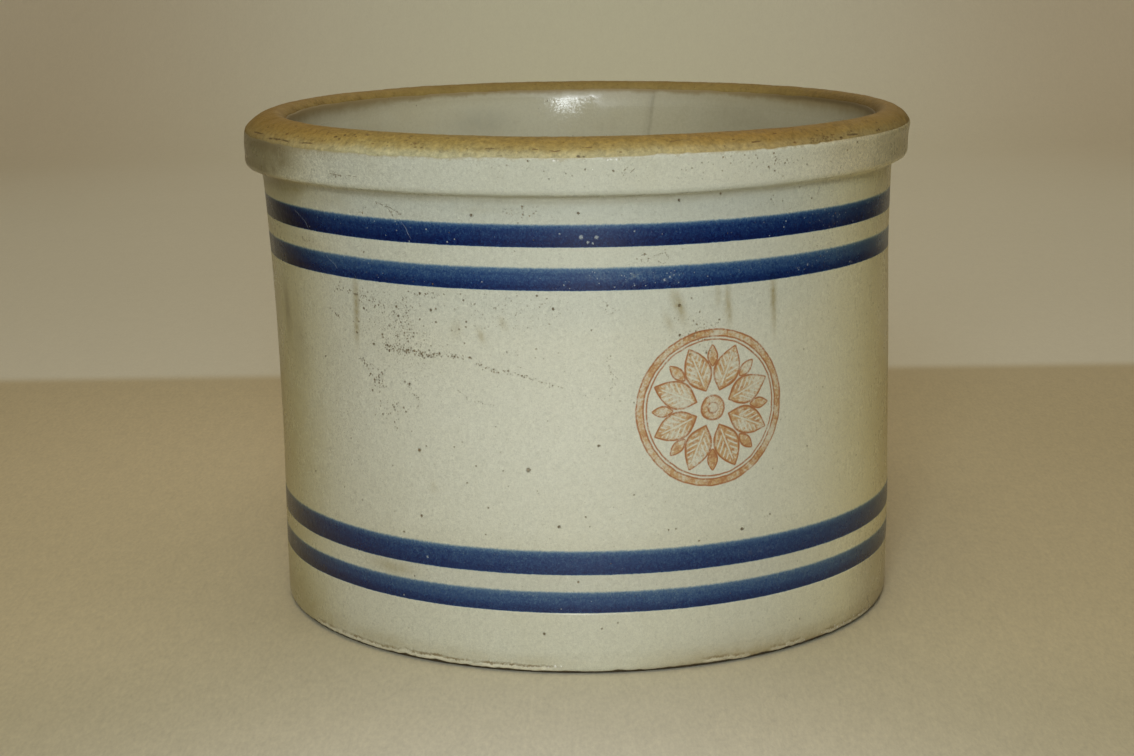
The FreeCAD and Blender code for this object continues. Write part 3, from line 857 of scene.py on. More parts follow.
class S:
    def __init__(self, m, s):
        self.m, self.s = m, s

    def __add__(self, o):
        return self.m.math("ADD", self, o)

    __radd__ = __add__

    def __sub__(self, o):
        return self.m.math("SUBTRACT", self, o)

    def __rsub__(self, o):
        return self.m.math("SUBTRACT", o, self)

    def __mul__(self, o):
        return self.m.math("MULTIPLY", self, o)

    __rmul__ = __mul__

    def __truediv__(self, o):
        return self.m.math("DIVIDE", self, o)

    def clip(self):
        return self.m.math("ADD", self, 0.0, clamp=True)


BAND_INK = {
    # how much blue at the upper edge, in the middle and at the lower edge
    "upper_band_top": (0.42, 0.82, 1.12),
    "upper_band_bottom": (0.38, 0.63, 1.00),
    "lower_band_top": (0.38, 0.69, 0.90),
    "lower_band_bottom": (0.36, 0.58, 0.96),
}
BLUE_TAKES = (5.3, 3.60, 1.70)     # how fast the blue takes red, green and blue out of the cream
CLAY_NEAR_GLAZE = (0.440, 0.395, 0.240)


def glaze_outside():
    n = Nodes("stoneware_glaze_outside")
    co = n.node("ShaderNodeTexCoord").outputs["Object"]
    mm = n.vmath("SCALE", S(n, co), 1000.0)
    x, y, z = n.split(mm)
    phi = n.math("ARCTAN2", x - z * LEAN, y * -1.0)
    u = phi * R0
    warm, grey_grime_and_dent_shade, worn, pitting = n.paint("stain")
    streaky, yellowing_and_side_shade, smudge_and_dent_shade, dirt_and_hollow_shade = n.paint("film")
    streaky = streaky * n.step(z, 141.0, 147.0, 1.0, 0.40) * (1.0 - n.step(phi, 0.6, 1.10) * n.step(phi, 2.6, 1.9) * 0.92)
    edge, bead, _ = n.split(n.attr("line"))

    n_big = n.noise(mm, 0.022, 2, 0.5, signed=True)
    n_mid = n.noise(mm, 0.085, 3, 0.6, signed=True)
    n_soft = n.noise(mm, 0.24, 3, 0.6, signed=True)
    n_fine = n.noise(mm, 0.62, 3, 0.65, signed=True)
    n_fleck = n.noise(mm, 1.15, 2, 0.7, signed=True)
    n_grain = n.noise(mm, 2.0, 2, 0.6, signed=True)
    n_grit = n.noise(mm, 3.6, 1, 0.5, signed=True)
    streak = n.noise(n.join(x, y, z * 0.085), 0.85, 3, 0.62, signed=True)
    streak_wide = n.noise(n.join(x, y, z * 0.10 + 40.0), 0.20, 2, 0.6, signed=True)

    # the cream ground: warm and cool clouds, fine mottle, rubbed streaks
    ground = n.mix(n.step(n_big + n_mid * 0.55, -0.6, 0.6), (0.618, 0.617, 0.498), (0.606, 0.599, 0.470))
    ground = n.mix(n.step(n_soft + n_mid * 0.3, 0.0, 0.8) * 0.22, ground, (0.552, 0.538, 0.415))
    ground = n.mix(n.step(n_soft * -1.0 + n_mid * 0.4, 0.15, 0.8) * 0.20, ground, (0.640, 0.650, 0.545))
    ground = n.mix(n.step(n_fine, 0.05, 0.9) * 0.20, ground, (0.500, 0.475, 0.350))
    ground = n.mix(n.step(n_grain, 0.2, 0.9) * 0.15, ground, (0.450, 0.430, 0.325))
    ground = n.mix(n.step(n_grain * -1.0, 0.3, 0.9) * 0.12, ground, (0.690, 0.690, 0.580))
    ground = n.mix(streaky * n.step(streak + streak_wide * 0.4, 0.0, 0.8) * 0.34, ground, (0.410, 0.365, 0.235))
    ground = n.mix(streaky * n.step(streak * -1.0, 0.1, 0.8) * 0.26, ground, (0.660, 0.645, 0.510))
    # painted light: a broad paler area across the front of the body, where the light falls most
    ground = n.mix(n.spot(u, z, -22.0, 76.0, 78.0, 34.0) * 0.66, ground, n.mix(0.55, ground, (0.730, 0.745, 0.650)))
    # yellowing, with painted warm shade on both sides
    ground = n.mix(yellowing_and_side_shade * n.step(n_mid + n_soft * 0.5, -0.9, 0.7, 0.4, 1.0) * 0.60, ground, (0.500, 0.430, 0.220))
    # painted shade: the sides turn warmer and yellower where the light falls off towards the edges
    ground = n.mix(n.step(n.math("ABSOLUTE", phi - 0.03), 0.70, 1.40) * n.step(n_mid + n_soft * 0.4, -1.0, 0.8, 0.75, 1.0), ground, n.mix(1.0, ground, (1.06, 0.99, 0.73), "MULTIPLY"))
    near_side = n.step(n.math("ABSOLUTE", phi), 2.95, 1.95)
    # painted shade and light: the left side darker and the right side lighter, the collar lighter at the front right
    # and darker at the right end, and parts of the front a little darker or cooler, all as the light falls
    ground = n.mix(n.step(phi * -1.0, 0.80, 1.22) * near_side, ground, n.mix(1.0, ground, (0.87, 0.86, 0.755), "MULTIPLY"))
    ground = n.mix(n.step(phi, 0.45, 1.10) * near_side, ground, n.mix(1.0, ground, (1.225, 1.165, 0.965), "MULTIPLY"))
    ground = n.mix(n.step(z, 144.0, 146.5) * n.step(phi, -0.1, 0.45) * n.step(phi, 1.10, 0.65), ground, n.mix(1.0, ground, (1.10, 1.075, 1.045), "MULTIPLY"))
    ground = n.mix(n.step(z, 98.0, 114.0) * n.step(n.math("ABSOLUTE", phi), 0.95, 0.65), ground, n.mix(1.0, ground, (0.940, 0.965, 1.0), "MULTIPLY"))
    ground = n.mix(n.step(z, 144.0, 146.5) * n.step(phi, 0.82, 1.12) * near_side, ground, n.mix(1.0, ground, (0.87, 0.885, 0.94), "MULTIPLY"))
    ground = n.mix(n.step(z, 144.0, 146.5) * n.step(phi, 0.58, 0.86) * n.step(phi, 1.45, 1.22), ground, n.mix(1.0, ground, (0.945, 0.915, 0.905), "MULTIPLY"))
    ground = n.mix(n.step(z, 46.0, 38.0) * n.step(n.math("ABSOLUTE", phi), 1.0, 0.6), ground, n.mix(1.0, ground, (0.955, 0.950, 0.935), "MULTIPLY"))
    ground = n.mix(n.step(n.math("ABSOLUTE", z - 30.5), 6.5, 4.5) * n.step(n.math("ABSOLUTE", phi), 1.0, 0.6), ground, n.mix(1.0, ground, (0.930, 0.940, 0.970), "MULTIPLY"))
    ground = n.mix(n.step(z, 129.0, 132.0) * n.step(z, 142.5, 141.0) * n.step(n.math("ABSOLUTE", phi), 0.9, 0.5), ground, n.mix(1.0, ground, (0.940, 0.948, 0.965), "MULTIPLY"))
    # painted shade: the lower end is darker on the right; just above the foot it turns brown, part stain and part
    # painted shade
    ground = n.mix(n.step(z, 32.0, 18.0) * n.step(phi, 0.88, 1.12) * near_side, ground, n.mix(1.0, ground, (0.76, 0.75, 0.80), "MULTIPLY"))
    ground = n.mix((n.math("EXPONENT", z * -0.26) * 1.25 * n.step(phi, 0.05, 0.45) * near_side * n.step(n_soft + n_fine * 0.6, -0.9, 0.5, 0.70, 1.15)).clip(), ground, (0.320, 0.245, 0.108))
    ends = n.step(n.math("ABSOLUTE", phi), 0.45, 1.05) * n.step(z, 138.0, 146.0)
    sides = n.step(n.math("ABSOLUTE", phi), 0.55, 1.15)
    ground = n.vmath("SCALE", ground, 1.0 + (n_fleck * 0.170 + n_grain * 0.110 + n_grit * 0.160 + n_fine * 0.070) * (1.0 + ends * 1.9 + sides * 0.35 + n.step(n.math("ABSOLUTE", phi + 0.62), 0.45, 0.15) * 0.30))
    # warm grime and grey grime in soft areas; the grey grime and the smudges also carry the painted shade of a dent on
    # the left, and the last mix carries the painted shadow under the collar and the painted shade above the foot
    ground = n.mix((warm * n.step(n_fine + n_mid * 0.7, -0.7, 0.8, 0.3, 1.15)).clip() * 0.92, ground, (0.285, 0.222, 0.072))
    ground = n.mix((grey_grime_and_dent_shade * n.step(n_fine * 0.8 + n_mid, -0.6, 0.9, 0.2, 1.0)).clip() * 0.42, ground, (0.400, 0.380, 0.285))
    ground = n.mix((smudge_and_dent_shade * n.step(n_soft + n_fine * 0.5, -0.8, 0.8, 0.55, 1.0)).clip() * 0.84, ground, (0.240, 0.195, 0.098))
    ground = n.mix((dirt_and_hollow_shade * n.step(n_fine + n_soft, -1.2, 0.8, 0.6, 1.0)).clip() * 0.62, ground, (0.255, 0.218, 0.122))

    # blue bands: a thin blue over the cream, so its depth sets the colour
    amount = None
    wob = n.noise(n.join(x, y, 0.0), 0.035, 2, 0.5, signed=True)
    edge_fine = n.noise(n.join(x, y, z * 0.6 + 3.0), 0.9, 2, 0.65, signed=True)
    grain_v = n.noise(n.join(x, y, z * 0.22 + 9.0), 1.25, 3, 0.7, signed=True)
    brush = n.noise(n.join(x * 0.05, y * 0.05, z * 1.2 + 5.0), 0.5, 2, 0.6, signed=True)
    load = n.noise(n.join(x, y, z * 0.2), 0.016, 2, 0.6, signed=True)
    for name, (lo, hi) in BANDS.items():
        # height in the band, 0 at its lower edge and 1 at its upper
        t = (z - lo - wob * 0.14) / (hi - lo)
        low = n.step(t + edge_fine * 0.020, -0.020, 0.040)
        top = n.step(t + edge_fine * 0.034 + grain_v * 0.024 + n_grit * 0.030, 1.050, 0.905)
        a, b, c = BAND_INK[name]
        level = n.step(t + grain_v * 0.11 + brush * 0.05, 1.00, 0.66, a, b) + n.step(t + grain_v * 0.05 + brush * 0.06, 0.62, 0.08, 0.0, c - b)
        ink = low * top * level
        amount = ink if amount is None else amount + ink
    inked = n.step(amount, 0.02, 0.25)
    amount = amount * (1.0 + grain_v * 0.13 + load * 0.12 + brush * 0.05 + n_fleck * 0.48 + n_grain * 0.58 + n_grit * 0.34 + n_fine * 0.14)
    # painted shade: the bands take more blue towards the sides, most on the left, where the light falls off
    amount = amount * (1.0 + n.step(phi * -1.0, 0.45, 1.25) * near_side * n.step(z, 60.0, 30.0) * 0.62)
    amount = amount * (1.0 + n.step(phi * -1.0, 0.82, 1.18) * near_side * n.step(z, 90.0, 110.0) * 0.85 + n.step(phi, 0.85, 1.25) * near_side * n.step(z, 60.0, 30.0) * 0.20)
    amount = amount * (1.0 - worn * n.step(n_fine + grain_v, -0.4, 0.5) * 0.50)
    left = [n.math("EXPONENT", amount * -k) for k in BLUE_TAKES]
    colour = n.mix(1.0, ground, n.join(*left), "MULTIPLY")
    colour = n.mix(inked * worn * n.step(n_fine - n_grain * 0.4, -0.1, 0.55) * 0.40, colour, (0.30, 0.29, 0.19))

    # pits, chips and painted glints drawn from the placed points
    px, py, _ = n.split(n.attr("pit"))
    kind, size, _ = n.split(n.attr("pit_kind"))
    wig = n.noise(mm, 2.9, 2, 0.6, signed=True)
    wig_small = n.noise(mm, 6.5, 1, 0.5, signed=True)
    dist = n.vmath("LENGTH", n.join(px + wig * 0.9, py - wig_small * 0.7, 0.0)) + wig * 0.7 + wig_small * 0.4
    core = n.step(dist, 1.10, 0.50)
    pale = n.step(kind, 0.75, 0.9)
    dark = 1.0 - pale
    pit_colour = n.mix(n.step(kind, 0.05, 0.6), (0.180, 0.122, 0.046), (0.300, 0.192, 0.066))
    pit_colour = n.mix(n.step(size, 0.30, 0.55) * 0.40, pit_colour, (0.068, 0.052, 0.028))
    pale_colour = n.mix(inked, (0.600, 0.590, 0.480), n.mix(0.55, colour, (0.560, 0.620, 0.600)))
    # kind 2 marks are painted glints, near white
    pit_colour = n.mix(pale, pit_colour, n.mix(n.step(kind, 1.3, 1.6), pale_colour, (0.93, 0.93, 0.88)))
    strong = n.step(size, 0.08, 0.44, 0.34, 0.90)
    colour = n.mix(core * n.math("MAXIMUM", strong, pale * 0.95), colour, pit_colour)

    # fine pitting where the surface is worn, too small to place one by one
    tiny = None
    flat = n.join(u, z, 0.0)
    for scale, share, gain, least, most in ((0.95, 0.965, 0.50, 0.11, 0.15), (1.75, 0.975, 0.46, 0.13, 0.15)):
        v = n.cells(flat, scale, flat=True)
        pick, rad, _ = n.split(n.cells(flat, scale, out="Color", flat=True))
        here = n.step(pick, share - pitting * gain, share + 0.015 - pitting * gain)
        dot = n.step(v + wig * 0.08 + wig_small * 0.05, least + rad * most, least * 0.5) * here
        tiny = dot if tiny is None else n.math("MAXIMUM", tiny, dot)
    tiny = tiny * n.step(z, 10.0, 24.0, 0.25, 1.0) * n.step(n.math("ABSOLUTE", phi), 1.20, 0.85, 0.25, 1.0)
    colour = n.mix(tiny * (0.32 + pitting * 0.34) * (1.0 - inked * 0.7), colour, (0.200, 0.150, 0.072))

    # scratches
    sx, sy, sk = n.split(n.attr("scratch"))
    across = n.math("ABSOLUTE", sx + n.noise(mm, 1.1, 2, 0.6, signed=True) * 0.8)
    along = n.step(n.math("ABSOLUTE", sy), 1.0, 0.8)
    cut = n.step(across, 1.25, 0.35) * along * n.step(n.noise(mm, 0.8, 1, 0.5), 0.30, 0.50)
    cut_colour = n.mix(n.step(sk, 0.6, 0.85), (0.19, 0.15, 0.08), n.mix(0.60, colour, n.mix(inked, (0.52, 0.53, 0.47), (0.340, 0.420, 0.500))))
    colour = n.mix(cut * n.step(sk, 0.0, 1.0, 0.8, 0.75), colour, cut_colour)

    # the stamped ornament: a plain rosette in iron red
    cx, cz = math.radians(22.0) * R0, 79.5
    a, b = (u - cx), (z - cz)
    wob2 = n.noise(mm, 0.22, 2, 0.5)
    r = n.math("SQRT", a * a + b * b) + (wob2 - 0.5) * 0.8
    th = n.math("ARCTAN2", b, a)
    half = math.pi / 8
    fold = n.math("PINGPONG", th + half + TAU, half)          # 0 on a petal's axis, half between two
    fold_b = n.math("PINGPONG", th + TAU, half)               # 0 between two petals
    off, off_b = fold * r, fold_b * r
    wide = n.math("SINE", ((r - 5.2) / 14.6).clip() * math.pi) * 4.35
    petal_in = wide - off                                       # millimetres inside the petal's edge
    in_r = n.step(r, 5.0, 5.6) * n.step(r, 19.9, 19.3)
    petal = n.step(petal_in, -0.05, 0.30) * in_r
    petal_line = n.step(n.math("ABSOLUTE", petal_in - 0.28), 0.46, 0.16) * in_r
    hatch = n.math("PINGPONG", (r * 0.80 - off * 0.95) + 40.0, 0.78)
    slits = n.step(hatch, 0.20, 0.36, 1.0, 0.0) * n.step(petal_in, 0.75, 1.15) * n.step(off, 0.55, 0.85) * n.step(r, 8.0, 9.5)
    rib = n.step(off, 0.30, 0.14) * n.step(r, 6.6, 7.6) * n.step(r, 17.8, 16.6)
    leaf_in = n.math("SINE", ((r - 12.0) / 7.2).clip() * math.pi) * 1.75 - off_b
    leaf = n.step(leaf_in, -0.05, 0.30) * n.step(r, 12.0, 12.6) * n.step(r, 19.2, 18.6)
    leaf_line = n.step(n.math("ABSOLUTE", leaf_in - 0.2), 0.36, 0.14) * n.step(r, 12.0, 12.6) * n.step(r, 19.2, 18.6)
    ring = n.step(n.math("ABSOLUTE", r - 22.4), 1.15, 0.85)
    ring_line = n.step(n.math("ABSOLUTE", n.math("ABSOLUTE", r - 22.4) - 1.0), 0.34, 0.14)
    thin = n.step(n.math("ABSOLUTE", r - 20.45), 0.34, 0.14)
    hub = n.step(r, 3.9, 3.5)
    hub_line = n.step(n.math("ABSOLUTE", r - 3.6), 0.42, 0.18) + n.step(n.math("ABSOLUTE", r - 1.6), 0.36, 0.14)
    front = n.step(n.math("ABSOLUTE", a), 32.0, 30.0)
    fill = n.math("MAXIMUM", n.math("MAXIMUM", petal, leaf), n.math("MAXIMUM", ring, hub))
    lines = (petal_line + leaf_line + ring_line + thin + hub_line).clip()
    speck = n.noise(mm, 1.25, 2, 0.75)
    blot = n.noise(mm, 0.17, 3, 0.62)
    clear = (slits + rib).clip()
    cover = n.step(speck * 0.62 + blot * 0.9, 0.58, 0.86, 0.16, 1.0)
    fill = (fill * cover * (1.0 - clear * 0.94)).clip() * front
    lines = lines * n.step(speck * 0.7 + blot * 0.8, 0.48, 0.78, 0.30, 1.0) * front
    deep = n.step(n.noise(mm, 0.9, 3, 0.7) + blot * 0.7, 0.86, 1.06)
    red = n.mix(deep, n.mix(n.step(speck, 0.35, 0.65), (0.545, 0.355, 0.155), (0.485, 0.280, 0.105)), (0.390, 0.160, 0.048))
    colour = n.mix(fill * 0.92, colour, red)
    colour = n.mix(lines * 0.90, colour, (0.360, 0.136, 0.042))

    # the ragged end of the glaze: bare clay shows through it and dirt sits behind its thick edge
    ragged = edge + n_fine * 0.22 + n_grain * 0.16
    colour = n.mix(n.step(ragged, 0.50, -0.15) * 0.85, colour, CLAY_NEAR_GLAZE)
    fuzzy = edge + n_fine * 1.2 + n_soft * 1.0 + n_fleck * 0.8
    colour = n.mix(n.step(fuzzy, 0.9, -0.2) * n.step(z, 60.0, 100.0) * 0.60, colour, (0.440, 0.392, 0.235))
    colour = n.mix(n.step(fuzzy, 3.6, 0.2) * n.step(phi * -1.0, 0.50, 1.05) * near_side * n.step(z, 60.0, 100.0) * 0.72, colour, (0.360, 0.305, 0.165))
    colour = n.mix(n.step(fuzzy, 4.4, 1.2) * n.step(phi * -1.0, 0.86, 1.04) * n.step(phi * -1.0, 1.30, 1.10) * n.step(z, 60.0, 100.0) * 0.62, colour, (0.235, 0.185, 0.092))
    thick = bead * n.step(bead, 0.05, 0.4) * n.step(edge, 2.7, 2.3) * n.step(n_fine + n_soft * 0.8 + n_fleck * 0.5, -0.45, 0.25, 0.30, 1.0)
    rim_of_bead = edge + n_fleck * 0.55 + n_fine * 0.60 + n_soft * 0.30
    colour = n.mix(thick * n.step(rim_of_bead, 1.50, 1.15) * 0.80, colour, (0.740, 0.700, 0.525))
    colour = n.mix(thick * n.step(n.math("ABSOLUTE", rim_of_bead - 1.66), 0.62, 0.14) * n.step(n_soft + n_fine * 0.5, -0.7, 0.2) * 0.88, colour, (0.200, 0.150, 0.066))
    colour = n.mix(n.step(edge, 2.4, 0.0) * n.step(n_mid + n_fine * 0.6, 0.15, 0.75) * 0.45, colour, (0.350, 0.275, 0.140))

    n.set(Base_Color=colour)
    glossy = n.step(n_mid + n_fine * 0.5, -0.8, 0.8, 0.24, 0.33) + grey_grime_and_dent_shade * 0.08 + worn * 0.06 + core * 0.25 + cut * 0.2
    glossy = n.mix_value(n.step(edge, 0.9, 0.2), glossy, 0.44)
    glossy = n.mix_value(n.step(edge, 0.9, 0.2) * n.step(n_soft + n_fine * 0.5, 0.05, 0.40) * n.step(phi, -0.30, -0.10) * n.step(phi, 0.30, 0.10), glossy, 0.21)
    n.set(Roughness=glossy)
    n.pbr.inputs["IOR"].default_value = 1.5

    relief = (n_fine * 0.11 + n_grain * 0.045) * (1.0 + n.step(phi * -1.0, 0.30, 0.75) * near_side * 1.1) + n_soft * 0.16 + streaky * streak * 0.08
    relief = relief - core * dark * n.step(size, 0.08, 0.5, 0.30, 1.5) - core * pale * 0.12 - tiny * 0.30 - cut * 0.25
    relief = relief + thick * n.step(rim_of_bead, 1.6, 1.1) * 0.5
    n.set(Normal=n.bump(relief, 0.00024))
    return n.m


def glaze_inside():
    n = Nodes("stoneware_glaze_inside")
    mm = n.vmath("SCALE", S(n, n.node("ShaderNodeTexCoord").outputs["Object"]), 1000.0)
    x, y, z = n.split(mm)
    edge, _, _ = n.split(n.attr("line"))
    n_big = n.noise(mm, 0.030, 3, 0.55, signed=True)
    n_mid = n.noise(mm, 0.13, 3, 0.6, signed=True)
    n_soft = n.noise(mm, 0.35, 3, 0.6, signed=True)
    n_fine = n.noise(mm, 1.0, 3, 0.65, signed=True)
    turned = n.noise(n.join(x * 0.02, y * 0.02, z), 0.55, 2, 0.6, signed=True)
    phi = n.math("ARCTAN2", x - z * LEAN, y)          # 0 at the back
    down = n.noise(n.join(x, y, z * 0.12), 0.16, 3, 0.6, signed=True)
    col = n.mix(n.step(n_big + n_mid * 0.5, -0.6, 0.6), (0.560, 0.556, 0.430), (0.528, 0.508, 0.368))
    # painted shade: the inside is darker on the right and a little lighter on the left, as the light falls
    col = n.mix(n.step(x, 0.0, 75.0) * 0.66, col, (0.400, 0.376, 0.258))
    col = n.vmath("SCALE", col, n.step(x, 10.0, -50.0, 1.0, 1.10) + n_fine * 0.110 + n.noise(mm, 2.4, 1, 0.5, signed=True) * 0.075)
    col = n.mix(n.step(n_mid + turned * 0.5 + n_soft * 0.4, 0.15, 1.0) * 0.38, col, (0.360, 0.345, 0.245))
    col = n.mix(n.step(down + n_soft * 0.4, 0.15, 0.9) * 0.30, col, (0.330, 0.305, 0.200))
    col = n.mix(n.step(n_soft * -1.0 + n_mid * 0.4, 0.2, 0.9) * 0.25, col, (0.560, 0.565, 0.475))
    col = n.mix(n.step(n_fine, 0.2, 0.9) * 0.22, col, (0.320, 0.300, 0.210))
    col = n.mix(1.0, col, (0.985, 0.965, 0.925), "MULTIPLY")
    # deeper glaze lies greyer in the corner of the floor
    col = n.mix(n.step(z, 34.0, 14.0) * 0.35, col, (0.40, 0.415, 0.36))
    # soft grey bruises, one wide one on the left of the far wall
    col = n.mix(n.spot(phi * 93.0, z, -37.0, 146.0, 12.0, 5.5) * n.step(n_soft + n_fine * 0.5, -0.9, 0.6, 0.5, 1.0) * 0.42, col, (0.300, 0.300, 0.230))
    col = n.mix(n.spot(phi * 93.0, z, 62.0, 148.0, 20.0, 6.0) * n.step(n_soft, -0.8, 0.6, 0.5, 1.0) * 0.40, col, (0.300, 0.280, 0.190))
    # the glaze thins to a brown stain under the bare rim
    thin = edge + n_mid * 1.0 + n_soft * 0.7 + n_fine * 0.3
    side_in = n.step(n.math("ABSOLUTE", phi), 0.55, 1.05)
    col = n.mix(n.step(thin, n.mix_value(side_in, 5.4, 8.0), 1.0) * n.mix_value(side_in, 0.26, 0.50), col, (0.325, 0.270, 0.145))
    col = n.mix(n.step(thin, n.mix_value(side_in, 2.2, 5.0), n.mix_value(side_in, 0.4, 1.0)) * 0.82, col, (0.270, 0.203, 0.086))
    col = n.mix(n.step(thin, 1.8, 0.5) * n.step(n_soft + n_mid * 0.5, 0.0, 0.7) * 0.55, col, (0.230, 0.160, 0.070))
    col = n.mix(n.step(edge + n_soft * 0.6, 2.4, 0.7) * side_in * n.step(x, 20.0, 60.0) * 0.75, col, (0.130, 0.098, 0.045))
    # iron specks
    v = n.cells(mm, 0.32)
    pick, rad, _ = n.split(n.cells(mm, 0.32, out="Color"))
    speck = n.step(v + n_fine * 0.02, 0.07 + rad * 0.07, 0.035) * n.step(pick, 0.80, 0.84)
    col = n.mix(speck * 0.6, col, (0.14, 0.11, 0.065))
    # one hairline crack runs down from the rim at the back
    un = phi * 93.0 - (24.6 + (z - 139.5) * 0.13) + n.noise(n.join(0.0, 0.0, z), 0.12, 3, 0.6, signed=True) * 1.0
    broken = n.step(n.noise(n.join(3.0, 0.0, z), 0.22, 2, 0.6), 0.36, 0.60, 0.25, 1.0)
    crack = n.step(n.math("ABSOLUTE", un), 0.95, 0.15) * n.step(z, 84.0, 112.0) * n.step(y, 0.0, 20.0) * broken
    shade = n.step(n.math("ABSOLUTE", un + 0.6), 2.6, 0.0) * n.step(z, 84.0, 112.0) * n.step(y, 0.0, 20.0)
    col = n.mix(shade * 0.16, col, (0.26, 0.24, 0.17))
    col = n.mix(crack * 0.22, col, (0.16, 0.14, 0.09))
    n.set(Base_Color=col)
    matt = n.math("MAXIMUM", n.step(thin, 3.6, 1.6), n.step(thin, 8.8, 3.4) * n.math("MAXIMUM", side_in, n.step(x, 3.0, 9.0)))
    n.set(Roughness=n.mix_value(matt, n.step(n_mid + n_soft * 0.5, -0.8, 0.8, 0.09, 0.15) + speck * 0.2, 0.48))
    n.pbr.inputs["IOR"].default_value = 1.5
    n.set(Normal=n.bump(n_fine * 0.085 + n_soft * 0.10 + n_mid * 0.08 + turned * 0.02 - speck * 0.4 - crack * 0.10, 0.00026))
    return n.m


